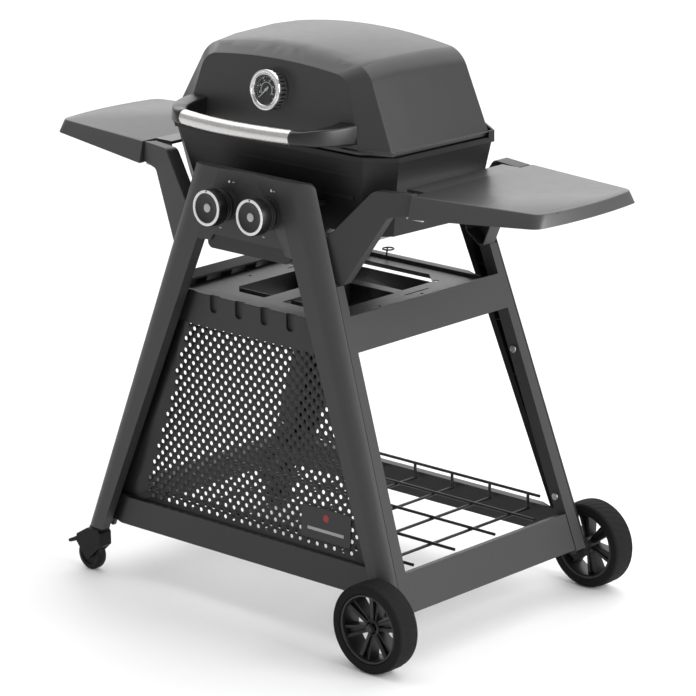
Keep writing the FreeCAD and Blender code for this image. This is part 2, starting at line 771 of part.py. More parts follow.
def tyre(name, place):
    """Solid tyre with rounded shoulders; the wheel's outer face looks along -Y."""
    body = new_body(name)
    sketch = new_sketch(body, "XY")
    outer, inner, width, round_off = dim["wheel_radius"], dim["wheel_radius"] - 19, dim["wheel_width"], 7.0
    draw_outline(sketch, [(inner, 0), (inner, -width), (outer - round_off, -width, round_off),
                          (outer, round_off - width), (outer, -round_off, round_off), (outer - round_off, 0)])
    revolve(body, sketch, "V_Axis")
    return keep(name, body, place)


def rim(name, place):
    """Moulded wheel centre: rim ring, hub and six pairs of slanted spokes."""
    body = new_body(name)
    outer, width = dim["wheel_radius"] - 19, dim["wheel_width"]
    ring = new_sketch(body, "XY")
    draw_outline(ring, [(outer - 6, -2), (outer - 6, 2 - width), (outer, 2 - width), (outer, -2)])
    revolve(body, ring, "V_Axis")
    hub = new_sketch(body, "XY")
    draw_outline(hub, [(dim["axle_radius"] + 0.15, 4), (dim["axle_radius"] + 0.15, 6 - width), (15, 6 - width),
                       (18, 12 - width), (18, 4)])
    web = new_sketch(body, "XY")
    draw_outline(web, [(17, -18), (17, -22), (outer - 5, -22), (outer - 5, -18)])
    revolve(body, web, "V_Axis")
    revolve(body, hub, "V_Axis")
    spokes = []
    for side in (-1, 1):
        spoke = new_sketch(body, "XZ", 10.0)
        draw_outline(spoke, [(side * 3, 14), (side * 8, 14), (side * 21, outer - 3), (side * 16, outer - 3)][::side])
        spokes.append(pad(body, spoke, 25.0))
    ring_of(body, spokes, 6)
    doc.recompute()
    window = new_sketch(body, "XZ", 15.0)
    draw_outline(window, [(-3.5, 24), (3.5, 24), (14, outer - 8), (-14, outer - 8)])
    opening = pocket(body, window, 10.0, backwards=False)
    opening.Reversed = False
    ring_of(body, [opening], 6)
    return keep(name, body, place)


def wheel_axle(side):
    """Shoulder bolt through the hub with its nut behind the leg; side is -1 at the front."""
    length, x, z = dim["wheel_width"], dim["wheel_x"], dim["wheel_radius"]
    face = dim["wheel_face"] * side
    inward = (0, -side, 0)
    bolt = rod((x, face - 6 * side, z), inward, length + 28, dim["axle_radius"])
    head = rod((x, face - 2 * side, z), inward, 3.8, 9.0)
    nut = rod((x, face - (length + 29) * side, z), inward, 7, 9.0)
    return fused([bolt, head, nut])


for end, place in wheel_places():
    tyre(end + "_wheel_tyre", place)
    rim(end + "_wheel_rim", place)
keep("wheel_axles", grouped([wheel_axle(-1), wheel_axle(1)]))


BRAKE_PIVOT = (-46.0, 61.0)


def caster_stem(name, place):
    """Swivel pin and the round plate that fixes it under the leg and post."""
    plate_top = 93.4
    return keep(name, fused([rod((0, 0, plate_top - 5.2), (0, 0, 1), 5.2, 20.0),
                             rod((0, 0, 60), (0, 0, 1), 30, 5.0)]), place)


def caster_fork(name, place):
    """Swivelling hood with two cheeks and the wheel's axle pin."""
    body = new_body(name)
    trail, radius, width = dim["caster_trail"], dim["caster_radius"], dim["caster_width"]
    half = width / 2 + 5.5
    hood = new_sketch(body, "XZ", 0.0)
    draw_outline(hood, [(16, 56), (16, 82), (10, 88), (-20, 88), (-50, 70), (-53, 56),
                        (-8 - trail, 28, 8.6), (8 - trail, 28)])
    pad(body, hood, half * 2, both=True)
    slot = new_sketch(body, "XZ", 0.0)
    draw_outline(slot, [(-64, 10), (-64, 66), (-8, 66), (13.5, 44.5), (13.5, 10)])
    pocket(body, slot, width + 3, both=True)
    doc.recompute()
    axle = new_sketch(body, "XZ", 0.0)
    draw_circle(axle, -trail, radius, 4.0)
    pad(body, axle, half * 2, both=True)
    pin = new_sketch(body, "XZ", 0.0)
    draw_circle(pin, *BRAKE_PIVOT, 2.0)
    pad(body, pin, half * 2, both=True)
    bore = new_sketch(body, "XY", 50)
    draw_circle(bore, 0, 0, 5.1)
    pocket(body, bore, 60, backwards=True)
    return keep(name, body, place)


def caster_wheel(name, place):
    body = new_body(name)
    radius, half = dim["caster_radius"], dim["caster_width"] / 2
    sketch = new_sketch(body, "XY")
    draw_outline(sketch, [(4.15, -half), (radius - 5, -half, 5.0), (radius, 5 - half), (radius, half - 5, 5.0),
                          (radius - 5, half), (4.15, half)])
    revolve(body, sketch, "V_Axis")
    lift = Placement(Vector(-DRIVING_SIZES["caster_trail"], 0, DRIVING_SIZES["caster_radius"]), Rotation())
    return keep(name, body, place.multiply(lift))


def caster_brake(name, place):
    """Foot lever that swings down onto the caster's wheel."""
    body = new_body(name)
    sketch = new_sketch(body, "XZ", 0.0)
    draw_outline(sketch, [(-42.5, 57.5), (-41, 64.2), (-50, 65), (-72, 54), (-80, 50, 3.2), (-78, 44.2),
                          (-72, 46), (-56, 52)])
    pad(body, sketch, 17.0, both=True)
    bore = new_sketch(body, "XZ", 0.0)
    draw_circle(bore, *BRAKE_PIVOT, 2.08)
    pocket(body, bore, 30.0, both=True)
    return keep(name, body, place)


for end, side in (("front", -1), ("rear", 1)):
    spot = Placement(Vector(-DRIVING_SIZES["caster_x"], side * DRIVING_SIZES["caster_y"], 0), Rotation())
    caster_stem(end + "_caster_stem", spot)
    caster_fork(end + "_caster_fork", spot)
    caster_wheel(end + "_caster_wheel", spot)
    caster_brake(end + "_caster_brake", spot)


# ---------------------------------------------------------------- gas controls

def control_box():
    """Open-fronted steel box behind the panel; its lower lip shows under the panel's edge."""
    body = new_body("control_box")
    half, low, high, wall = 98.0, 702.0, 850.0, 2.0
    back, front, lip_top, corner, lip_half = 26.0, 11.5, 756.0, 12.0, 106.0
    lip = new_sketch(body, "XZ", -back)
    draw_outline(lip, [(corner - lip_half, low), (lip_half - corner, low, corner * 1.05),
                       (lip_half, low + corner), (lip_half, lip_top), (-lip_half, lip_top),
                       (-lip_half, low + corner, corner * 1.05)])
    pad(body, lip, back + front)
    upper = new_sketch(body, "XZ", -back)
    draw_outline(upper, [(-half, lip_top - 5), (half, lip_top - 5), (half, high), (-half, high)])
    pad(body, upper, back - 0.5)
    inside = new_sketch(body, "XZ", -back + wall)
    draw_outline(inside, [(wall - half, low + wall), (half - wall, low + wall),
                          (half - wall, lip_top - wall), (wall - half, lip_top - wall)])
    pocket(body, inside, back + front - 2 * wall, backwards=True)
    upper_inside = new_sketch(body, "XZ", -back + wall)
    draw_outline(upper_inside, [(wall - half, lip_top - 6), (half - wall, lip_top - 6),
                                (half - wall, high - wall), (wall - half, high - wall)])
    pocket(body, upper_inside, back + front, backwards=True)
    for side in (-1, 1):
        hole = new_sketch(body, "XZ", -back)
        draw_circle(hole, dim["knob_x"] * side, dim["knob_z"], 13.0)
        pocket(body, hole, 10.0, both=True)
    port = new_sketch(body, "YZ", half)
    draw_circle(port, MANIFOLD_BACK, MANIFOLD_UP, 8.6)
    pocket(body, port, 10.0, both=True)
    return keep("control_box", body, FRONT)


MANIFOLD_BACK = 12.0
MANIFOLD_UP = 769.6
STEM_RADIUS = 4.0
KNOB_TURN_PLACES = (("left", -1), ("right", 1))


def knob_place(side):
    return FRONT.multiply(Placement(Vector(side * DRIVING_SIZES["knob_x"], 0, DRIVING_SIZES["knob_z"]),
                                    Rotation()))


def knob(name, place):
    """Round control knob with a stepped skirt, a front ring and a dished face."""
    body = new_body(name)
    sketch = new_sketch(body, "XY")
    radius, bore = dim["knob_radius"], STEM_RADIUS + 0.05
    draw_outline(sketch, [(bore, -29.5), (radius - 5.5, -29.5), (radius - 4, -31), (radius - 4, -46),
                          (radius - 1.5, -47.5), (radius, -49.5), (radius, -71), (radius - 2, -73.5),
                          (radius - 4.5, -73.5), (radius - 7, -69), (0, -67.5), (0, -50), (bore, -50)])
    revolve(body, sketch, "V_Axis")
    return keep(name, body, place)


def valve_stem(name, place):
    """Round spindle that pushes into the valve and carries the knob."""
    body = new_body(name)
    sketch = new_sketch(body, "XY")
    draw_outline(sketch, [(0, -49), (STEM_RADIUS - 0.5, -49), (STEM_RADIUS, -48.5), (STEM_RADIUS, 8), (0, 8)])
    revolve(body, sketch, "V_Axis")
    return keep(name, body, place)


def valve(name, place):
    """Brass gas valve standing on the manifold, with its nozzle pointing backwards."""
    body = new_body(name)
    sketch = new_sketch(body, "XY")
    draw_outline(sketch, [(STEM_RADIUS + 0.08, -9), (11, -9), (11, 18), (7, 19), (4, 23.8), (4, 29.5),
                          (0, 29.5), (0, 13), (STEM_RADIUS + 0.08, 13)])
    revolve(body, sketch, "V_Axis")
    neck = new_sketch(body, "XY", MANIFOLD_UP + 8.1 - dim["knob_z"])
    draw_outline(neck, [(-5, MANIFOLD_BACK - 4), (5, MANIFOLD_BACK - 4), (5, MANIFOLD_BACK + 4),
                        (-5, MANIFOLD_BACK + 4)])
    pad(body, neck, 4.5)
    return keep(name, body, place)


def gas_manifold():
    """Pipe along the control box that feeds both valves; the gas inlet is its right end."""
    pipe = rod((-82, MANIFOLD_BACK, MANIFOLD_UP), (1, 0, 0), 222, 8.0)
    collar = rod((112, MANIFOLD_BACK, MANIFOLD_UP), (1, 0, 0), 10, 10.5)
    bore = rod((-70, MANIFOLD_BACK, MANIFOLD_UP), (1, 0, 0), 212, 5.5)
    return keep("gas_manifold", without(fused([pipe, collar]), bore), FRONT)


control_box()
for word, side in KNOB_TURN_PLACES:
    knob(word + "_knob", knob_place(side))
    valve_stem(word + "_valve_stem", knob_place(side))
    valve(word + "_valve", knob_place(side))
gas_manifold()


# ---------------------------------------------------------------- firebox and what is in it

BOX_PLAN = [(240, -185), (290, -142), (301, 112), (248, 150)]


def around(corners):
    """A symmetric outline from its right-hand corners, listed front to back."""
    return corners + [(-as_size(x), y) for x, y in reversed(corners)]


def box_plan(inset):
    """Firebox outline from above, moved inward."""
    signs = ((1, 1.0), (1, 0.7), (1, -0.4), (1, -1.0))
    return around([(x - inset * sx, y + inset * sy) for (x, y), (sx, sy) in zip(BOX_PLAN, signs)])


def firebox():
    """Cast fire bowl: flat rim, tapering walls, a funnel floor with a drip hole, and its ledges."""
    body = new_body("firebox")
    top = dim["rim_top"]
    wall = dim["casting_wall"]
    rim_low = top - dim["rim_thick"]
    rim_sketch = draw_outline(new_sketch(body, "XY", rim_low), box_plan(0))
    pad(body, rim_sketch, dim["rim_thick"])
    bends = ((rim_low + 1, 5.0), (803.0, 26.0), (757.0, 37.0))
    loft(body, [draw_outline(new_sketch(body, "XY", z), box_plan(inset)) for z, inset in bends])
    funnel = draw_outline(new_sketch(body, "XY", 735.0), box_plan(110.0))
    neck_top = draw_outline(new_sketch(body, "XY", 757.5), box_plan(37.0))
    loft(body, [neck_top, funnel])
    # the rear rim stands up behind the lid
    rear = [(301, 96), (301, 112), (248, 150)]
    inner = [(246.5, 146.6), (297.4, 110), (297.4, 96)]
    raised = new_sketch(body, "XY", top - 2)
    draw_outline(raised, rear + [(-x, y) for x, y in reversed(rear)]
                 + [(-x, y) for x, y in reversed(inner)] + inner)
    pad(body, raised, 15.0)
    # the inside
    cavity = [(top + 1, 9.0), (rim_low - 6, 10.0), (803.0, 26.0 + 4.4), (757.0, 41.6)]
    loft(body, [draw_outline(new_sketch(body, "XY", z), box_plan(inset)) for z, inset in cavity],
         cutting=True)
    floor_cut = [(757.5, 41.6), (735.0 + wall, 112.0)]
    loft(body, [draw_outline(new_sketch(body, "XY", z), box_plan(inset)) for z, inset in floor_cut],
         cutting=True)
    drain = new_sketch(body, "XY", 730.0)
    draw_circle(drain, 0, -17, 30.0)
    pocket(body, drain, 20.0, backwards=True)
    # ledges for the grates and the flame tamers
    for z, half, front_y, front_in, rear_in, rear_y in ((872.0, 225.0, -174.0, -141.0, 112.0, 139.0),
                                                        (827.0, 200.0, -167.0, -138.0, 104.0, 132.0)):
        for near, far in ((front_y, front_in), (rear_in, rear_y)):
            ledge = new_sketch(body, "XY", z)
            draw_outline(ledge, [(-half, near), (half, near), (half, far), (-half, far)])
            pad(body, ledge, 7.0)
    # lugs that rest inside the A-frames
    for side in (-1, 1):
        for end in (-1, 1):
            root_y = -156.0 if end < 0 else 121.0
            tip_y = 230.0 * end
            lug = new_sketch(body, "XY", 806.0)
            draw_outline(lug, [(side * 102, root_y), (side * 126, root_y), (side * 126, tip_y),
                               (side * 102, tip_y)][::(side * -end)])
            pad(body, lug, 7.6)
    # hinge ears, each pair embracing one lug of the lid
    for middle in (-150.0, 150.0):
        slot = new_sketch(body, "XY", top)
        draw_outline(slot, [(middle - 7, 140), (middle + 7, 140), (middle + 7, 160), (middle - 7, 160)])
        pocket(body, slot, 20.0, backwards=True)
        for inner_x in (middle - 12.4, middle + 7.4):
            ear = new_sketch(body, "YZ", inner_x)
            draw_outline(ear, [(147, top - 8), (160, top - 8), (dim["hinge_y"] + 8, dim["hinge_z"] - 4),
                               (dim["hinge_y"] + 8, dim["hinge_z"], 8.2), (dim["hinge_y"] - 8, dim["hinge_z"]),
                               (147, top + 2)])
            pad(body, ear, 5.0)
    pins = new_sketch(body, "YZ", -170.0)
    draw_circle(pins, dim["hinge_y"], dim["hinge_z"], 4.0)
    pocket(body, pins, 340.0, backwards=True)
    # holes for the burner tubes and the igniters
    for side in (-1, 1):
        for x, z, radius in ((dim["knob_x"] * side, 793.0, 11.7), (side * 95.0, 812.0, 3.2)):
            hole = new_sketch(body, "XZ", 140.0)
            draw_circle(hole, x, z, radius)
            pocket(body, hole, 40.0, backwards=True)
    # rails that the drip tray slides on
    for side in (-1, 1):
        runner = new_sketch(body, "XZ", 125.0)
        draw_outline(runner, [(side * 84, 713), (side * 93, 713), (side * 93, 737), (side * 90.5, 737),
                              (side * 90.5, 716.5), (side * 84, 716.5)][::side])
        pad(body, runner, 215.0, backwards=True)
    return keep("firebox", body)


def drip_tray():
    """Shallow sliding pan under the firebox, hung on its side flanges."""
    body = new_body("drip_tray")
    half, back, front, low, high = 82.5, 88.0, 122.0, 694.0, 719.2
    sketch = new_sketch(body, "XY", low)
    draw_outline(sketch, [(-half, -front), (half, -front), (half, back), (-half, back)])
    pad(body, sketch, high - low)
    flange = new_sketch(body, "XY", high - 2.2)
    draw_outline(flange, [(-half - 7.0, -front), (half + 7.0, -front), (half + 7.0, back),
                          (-half - 7.0, back)])
    pad(body, flange, 2.2)
    inside = new_sketch(body, "XY", low + 1.5)
    draw_outline(inside, [(1.5 - half, 1.5 - front), (half - 1.5, 1.5 - front), (half - 1.5, back - 1.5),
                          (1.5 - half, back - 1.5)])
    pocket(body, inside, 40.0, backwards=True)
    return keep("drip_tray", body)


def burner(side):
    """Gas tube with its venturi at the front and a rectangular loop of burner tube."""
    near, far, front, back, level, radius = 55.5, 195.0, -112.0, 92.0, 797.0, 10.0
    bars = [rod((side * near, -186, 793), (0, 1, 0), 76, 11.0)]
    for x in (near, far):
        bars.append(rod((side * x, front, level), (0, 1, 0), back - front, radius))
    overhang = 5.0
    for y in (front + radius, back - radius):
        start = near - overhang if side > 0 else -far - overhang
        bars.append(rod((start, y, level), (1, 0, 0), far - near + 2 * overhang, radius - 0.8))
    return fused(bars)


def flame_tamer(side):
    """Bent plate over the burner that spreads its heat."""
    body = new_body("flame_tamer")
    middle, half, peak, low, thick = side * 122.0, 88.0, 858.0, 835.0, 2.5
    sketch = new_sketch(body, "XZ", 146.0)
    draw_outline(sketch, [(middle - half, low), (middle, peak - thick), (middle + half, low),
                          (middle + half, low + thick), (middle, peak), (middle - half, low + thick)])
    pad(body, sketch, 262.0, backwards=True)
    return body


def igniter(side):
    """Spark pin held in the front wall."""
    pin = rod((side * 95.0, -182, 812), (0, 1, 0), 60, 2.0)
    sleeve = rod((side * 95.0, -180, 812), (0, 1, 0), 40, 3.1)
    return fused([pin, sleeve])


def cooking_grate(side):
    """Half grate: bars from front to back on three cross bars."""
    top, bar = dim["grate_top"], 3.0
    low_x, high_x, front, back = 5.0, 249.0, -152.0, 122.0
    start = low_x if side > 0 else -high_x
    bars = []
    count = 15
    step = (high_x - low_x - 2 * bar) / (count - 1)
    for number in range(count):
        bars.append(rod((start + bar + number * step, front, top - bar), (0, 1, 0), back - front, bar))
    for y in (front + 20, (front + back) / 2, back - 20):
        bars.append(rod((start, y, top - 2 * bar - 0.6), (1, 0, 0), high_x - low_x, bar * 0.8))
    return fused(bars)


def warming_rack():
    """Small wire shelf above the grates, standing on two sloping legs at the back."""
    level, wire = 985.0, 2.5
    wires = [rod((-200, y, level), (1, 0, 0), 400, wire) for y in (32.0, 100.0)]
    for number in range(17):
        wires.append(rod((-192 + number * 24.0, 30, level), (0, 1, 0), 72, wire * 0.8))
    for side in (-1, 1):
        wires.append(rod((side * 200.0, 29, level), (0, 1, 0), 74, wire))
        wires.append(rod((side * 200.0, 101, level), (0, 0.36, -0.93), 96, wire))
    return keep("warming_rack", fused(wires))


firebox()
drip_tray()
keep("burners", grouped([burner(-1), burner(1)]))
keep("flame_tamers", grouped([flame_tamer(-1), flame_tamer(1)]))
keep("igniters", grouped([igniter(-1), igniter(1)]))
keep("cooking_grates", grouped([cooking_grate(-1), cooking_grate(1)]))
warming_rack()


# ---------------------------------------------------------------- lid

# each section: y at the rim, its lean, half width at the rim, the start and end of the rounded
# corner, the corner's radius and the height of the crown
LID_SECTIONS = [
    (-175.0, 0.10, 222.5, 188.0, 1024.0, 150.0, 1054.5, 43.0, 1063.0),
    (-148.0, 0.13, 279.5, 218.0, 1036.0, 177.0, 1070.0, 60.0, 1084.6),
    (-85.0, 0.098, 283.5, 224.0, 1040.0, 184.0, 1075.1, 59.5, 1089.6),
    (35.0, 0.038, 288.9, 232.4, 1040.7, 192.9, 1076.3, 58.6, 1092.0),
    (110.0, 0.0, 291.0, 236.0, 1037.0, 196.0, 1072.5, 58.0, 1089.0),
    (140.0, 0.0, 236.0, 190.0, 1012.0, 152.0, 1048.0, 55.0, 1060.0),
]


def lid_section(body, numbers, inset, shift, drop):
    """One cross section of the lid, shrunk by the wall and shifted along Y."""
    y, lean, half, start_x, start_z, end_x, end_z, radius, crown = numbers
    base = dim["lid_rim"]
    stretch = math.sqrt(1 + lean * lean)
    sketch = new_sketch(body, "XZ", -(as_size(y) + shift), base, -math.degrees(math.atan(lean)))
    rise_end = (end_z - inset - base) * stretch
    crown_radius = ((end_x - inset) ** 2 + (crown - end_z) ** 2) / (2 * (crown - end_z))
    draw_outline(sketch, [
        (inset * 1.15 - half, -drop), (half - inset * 1.15, -drop),
        (start_x - inset, (start_z - inset * 0.5 - base) * stretch, radius - inset),
        (end_x - inset * 0.5, rise_end, crown_radius),
        (inset * 0.5 - end_x, rise_end, radius - inset),
        (inset - start_x, (start_z - inset * 0.5 - base) * stretch)])
    return sketch


def lid():
    """Hood with a flat front panel framed by wide bevels, a rim bead and two hinge lugs."""
    body = new_body("lid")
    wall = DRIVING_SIZES["casting_wall"]
    loft(body, [lid_section(body, numbers, 0.0, 0.0, 0.0) for numbers in LID_SECTIONS])
    bead = new_sketch(body, "XY", dim["lid_rim"])
    draw_outline(bead, around([(225, -179.5), (283, -150), (292.5, 109.5), (240, 144.5)]))
    pad(body, bead, 7.0)
    shifts = (wall, wall * 0.6, 0.0, 0.0, -wall * 0.6, -wall)
    loft(body, [lid_section(body, numbers, wall, shift, 2.0)
                for numbers, shift in zip(LID_SECTIONS, shifts)], cutting=True)
    for middle in (-150.0, 150.0):
        ear = new_sketch(body, "YZ", middle - 6)
        draw_outline(ear, [(137.5, dim["hinge_z"] - 8), (dim["hinge_y"], dim["hinge_z"] - 8, 8.2),
                           (dim["hinge_y"], dim["hinge_z"] + 8), (137.5, dim["hinge_z"] + 14)])
        pad(body, ear, 12.0)
        bore = new_sketch(body, "YZ", middle - 10)
        draw_circle(bore, dim["hinge_y"], dim["hinge_z"], 4.06)
        pocket(body, bore, 20.0, backwards=True)
    probe = new_sketch(body, "XZ", 180.0)
    draw_circle(probe, 0, DIAL_UP + dim["lid_rim"], 5.5)
    pocket(body, probe, 30.0, backwards=True)
    return keep("lid", body)


FACE = Placement(Vector(0, -175, DRIVING_SIZES["lid_rim"]), Rotation(Vector(1, 0, 0), -5.71))
DIAL_UP = 90.5


def hinge_pin(middle):
    return rod((middle - 14, dim["hinge_y"], dim["hinge_z"]), (1, 0, 0), 28, 4.0)


def handle_tube():
    """Bowed round tube across the lid's front."""
    ends, bow, front = 138.0, 15.0, -277.0
    radius = (ends * ends + bow * bow) / (2 * bow)
    sweep = 2 * math.degrees(math.asin(ends / radius))
    tubes = []
    for thickness in (dim["handle_radius"], dim["handle_radius"] - 1.5):
        tube = doc.addObject("Part::Torus", "tube")
        bind(tube, "Radius1", radius)
        bind(tube, "Radius2", thickness)
        bind(tube, "Angle3", sweep)
        tube.Placement = Placement(Vector(0, front + radius, 0), Rotation(Vector(0, 0, 1), -90 - sweep / 2))
        bind(tube, "Placement.Base.z", dim["handle_z"])
        tubes.append(tube)
    return keep("handle_tube", without(*tubes))


def handle_bracket(name, side):
    """Curved arm from the lid's face round to the end of the handle tube."""
    body = new_body(name)
    sketch = new_sketch(body, "XY", 17.0)
    near, far, inner, outer, tip = -105.5, -74.5, 176.0, 222.0, 138.4
    if side > 0:
        plan = [(inner, -0.2), (outer, -0.2, -150.0), (tip, near), (tip, far, 70.0)]
    else:
        plan = [(-outer, -0.2), (-inner, -0.2, 70.0), (-tip, far), (-tip, near, -150.0)]
    draw_outline(sketch, plan)
    pad(body, sketch, 33.0)
    return keep(name, body, FACE)


def dial_place(forward):
    return FACE.multiply(Placement(Vector(0, -forward, DIAL_UP), Rotation()))


def bezel():
    """Ring housing of the thermometer with its probe, turned about its own axis."""
    body = new_body("thermometer_bezel")
    sketch = new_sketch(body, "XY")
    radius = dim["dial_radius"]
    draw_outline(sketch, [(0, -0.2), (radius - 4, -0.2), (radius - 1, -3), (radius - 1, -12),
                          (radius, -13), (radius, -22), (radius - 1.5, -24.5), (radius - 4, -24.5),
                          (radius - 4, -3), (0, -3)])
    revolve(body, sketch, "V_Axis")
    stem = new_sketch(body, "XZ", 1.0)
    draw_circle(stem, 0, 0, 4.0)
    pad(body, stem, 34.0, backwards=True)
    return keep("thermometer_bezel", body, dial_place(0.0))


def dial_disc(name, near, far, hole):
    """A round plate inside the bezel."""
    body = new_body(name)
    sketch = new_sketch(body, "XZ", near)
    draw_circle(sketch, 0, 0, dim["dial_radius"] - 4.1)
    pad(body, sketch, far - near)
    if hole:
        bore = new_sketch(body, "XZ", near)
        draw_circle(bore, 0, 0, hole)
        pocket(body, bore, far - near, backwards=True)
    return keep(name, body, dial_place(0.0))


def needle():
    """Pointer on a short spindle that turns in the dial."""
    body = new_body("thermometer_needle")
    spindle = new_sketch(body, "XZ", 14.5)
    draw_circle(spindle, 0, 0, 1.5)
    pad(body, spindle, 4.5)
    pointer = new_sketch(body, "XZ", 18.4)
    draw_outline(pointer, [(7, 6.5), (5.2, 8.4), (-21.5, -21.2), (-20.4, -22.2)])
    pad(body, pointer, 1.0)
    return keep("thermometer_needle", body, dial_place(0.0))


lid()
keep("lid_hinge_pins", grouped([hinge_pin(-150.0), hinge_pin(150.0)]))
handle_tube()
handle_bracket("left_handle_bracket", -1)
handle_bracket("right_handle_bracket", 1)
bezel()
dial_disc("thermometer_dial", 14.0, 17.6, 1.56)
dial_disc("thermometer_lens", 21.5, 23.3, 0.0)
needle()


# ---------------------------------------------------------------- frame bolts

def frame_bolt(end, up):
    """Bolt through a post's inner face, in the side frame's own axes."""
    start = post_inside(up) * end - 4.5 * end
    head = rod((dim["side_thick"] * -0.5, start, along(up)), (0, end, 0), 4.2, 7.0)
    shank = rod((dim["side_thick"] * -0.5, start, along(up)), (0, end, 0), 42.0, STEM_RADIUS)
    return fused([head, shank])


def bolts_of(place):
    bolts = grouped([frame_bolt(end, up) for end in (-1, 1) for up in BOLT_HEIGHTS])
    bolts.Placement = place
    return bolts


keep("frame_bolts", grouped([bolts_of(LEFT), bolts_of(RIGHT)]))

# ---------------------------------------------------------------- check and write

def check_and_write():
    doc.recompute()
    for thing in doc.Objects:
        if "Invalid" in thing.State or "Error" in thing.State:
            raise RuntimeError("%s (%s) did not build: %s" % (thing.Name, thing.Label, thing.State))
    os.makedirs("parts", exist_ok=True)
    for name, thing in nodes.items():
        shape = thing.Shape
        if shape.isNull() or not shape.isValid() or shape.Volume <= 0:
            raise RuntimeError("%s has no valid shape" % name)
        shape.exportStep("parts/%s.step" % name)
        box = shape.BoundBox
        print("%-26s solids %2d  volume %10.0f  x %7.1f %7.1f  y %7.1f %7.1f  z %7.1f %7.1f" % (
            name, len(shape.Solids), shape.Volume, box.XMin, box.XMax, box.YMin, box.YMax,
            box.ZMin, box.ZMax))


check_and_write()
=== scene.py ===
import math

import bmesh
import bpy
from mathutils import Matrix, Vector
from mathutils.geometry import delaunay_2d_cdt


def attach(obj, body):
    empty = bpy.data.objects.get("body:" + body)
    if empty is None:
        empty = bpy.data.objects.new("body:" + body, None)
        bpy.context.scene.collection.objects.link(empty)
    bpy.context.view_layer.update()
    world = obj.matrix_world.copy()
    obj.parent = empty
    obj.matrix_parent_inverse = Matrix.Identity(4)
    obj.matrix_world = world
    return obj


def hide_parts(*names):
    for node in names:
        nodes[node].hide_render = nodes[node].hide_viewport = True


# Looks of the gas barbecue grill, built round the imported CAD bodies.
# A piece's own lengths are millimetres; add_piece turns them into metres.
# +X is the grill's right, +Y its back and +Z up.

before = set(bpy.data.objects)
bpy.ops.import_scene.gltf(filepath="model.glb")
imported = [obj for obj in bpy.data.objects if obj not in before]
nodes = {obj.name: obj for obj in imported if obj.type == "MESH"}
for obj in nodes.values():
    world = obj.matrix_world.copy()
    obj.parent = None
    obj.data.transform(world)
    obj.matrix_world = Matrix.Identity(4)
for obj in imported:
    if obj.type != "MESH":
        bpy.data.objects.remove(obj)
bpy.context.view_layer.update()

MM = 0.001
SEAM_DEPTH, FRAME_LEAN = 271.3, 3.68
LID_FACE_Y, LID_RIM, LID_FACE_LEAN, DIAL_UP = -175.0, 916.0, 5.71, 90.5
KNOB_X, KNOB_UP = 55.5, 790.6
WHEEL_X, WHEEL_HUB_Y, WHEEL_RADIUS = 385.0, 292.0, 85.0
CASTER_X, CASTER_Y, CASTER_RADIUS = 410.0, 267.0, 31.0
SIDES = (("left", -1), ("right", 1))
ENDS = (("front", -1), ("rear", 1))


def moved(x, y, z):
    return Matrix.Translation(Vector((x, y, z)) * MM)


def turned(degrees, axis):
    return Matrix.Rotation(math.radians(degrees), 4, axis)


# Places shared with the CAD design; on a frame and on the lid, -Y points outwards.
CENTRE = Matrix.Identity(4)
HALF_TURN = turned(180, "Z")
FRONT = moved(0, -SEAM_DEPTH, 0) @ turned(-FRAME_LEAN, "X")
REAR = HALF_TURN @ FRONT
LID_FACE = moved(0, LID_FACE_Y, LID_RIM) @ turned(-LID_FACE_LEAN, "X")
DIAL = LID_FACE @ moved(0, 0, DIAL_UP)


# ---------------------------------------------------------------- materials

def grey(brightness):
    return (brightness, brightness, brightness)


def new_material(name, colour, roughness, metallic=0.0):
    material = bpy.data.materials.new(name)
    material.use_nodes = True
    shader = material.node_tree.nodes["Principled BSDF"]
    shader.inputs["Base Color"].default_value = (*colour, 1.0)
    shader.inputs["Roughness"].default_value = roughness
    shader.inputs["Metallic"].default_value = metallic
    return material, shader


def object_coordinates(material, stretch=(1.0, 1.0, 1.0)):
    tree = material.node_tree
    coordinates = tree.nodes.new("ShaderNodeTexCoord")
    mapping = tree.nodes.new("ShaderNodeMapping")
    mapping.inputs["Scale"].default_value = stretch
    tree.links.new(coordinates.outputs["Object"], mapping.inputs["Vector"])
    return mapping.outputs["Vector"]


def noise(material, vector, scale, detail=3.0):
    tree = material.node_tree
    texture = tree.nodes.new("ShaderNodeTexNoise")
    texture.inputs["Scale"].default_value = scale
    texture.inputs["Detail"].default_value = detail
    tree.links.new(vector, texture.inputs["Vector"])
    return texture.outputs["Fac"]


def spread(material, value, low, high):
    """Maps the middle of a noise's range onto low-high."""
    node = material.node_tree.nodes.new("ShaderNodeMapRange")
    node.inputs["From Min"].default_value = 0.3
    node.inputs["From Max"].default_value = 0.7
    node.inputs["To Min"].default_value = low
    node.inputs["To Max"].default_value = high
    material.node_tree.links.new(value, node.inputs["Value"])
    return node.outputs["Result"]


def add_bump(material, shader, height, distance):
    tree = material.node_tree
    bump = tree.nodes.new("ShaderNodeBump")
    bump.inputs["Strength"].default_value = 1.0
    bump.inputs["Distance"].default_value = distance
    tree.links.new(height, bump.inputs["Height"])
    tree.links.new(bump.outputs["Normal"], shader.inputs["Normal"])


def tinted(material, shader, value, colour, low, high):
    """Lets the base colour drift between two brightnesses of one colour."""
    tree = material.node_tree
    mix = tree.nodes.new("ShaderNodeMix")
    mix.data_type = "RGBA"
    mix.inputs["A"].default_value = (*[c * low for c in colour], 1.0)
    mix.inputs["B"].default_value = (*[c * high for c in colour], 1.0)
    tree.links.new(value, mix.inputs["Factor"])
    tree.links.new(mix.outputs["Result"], shader.inputs["Base Color"])


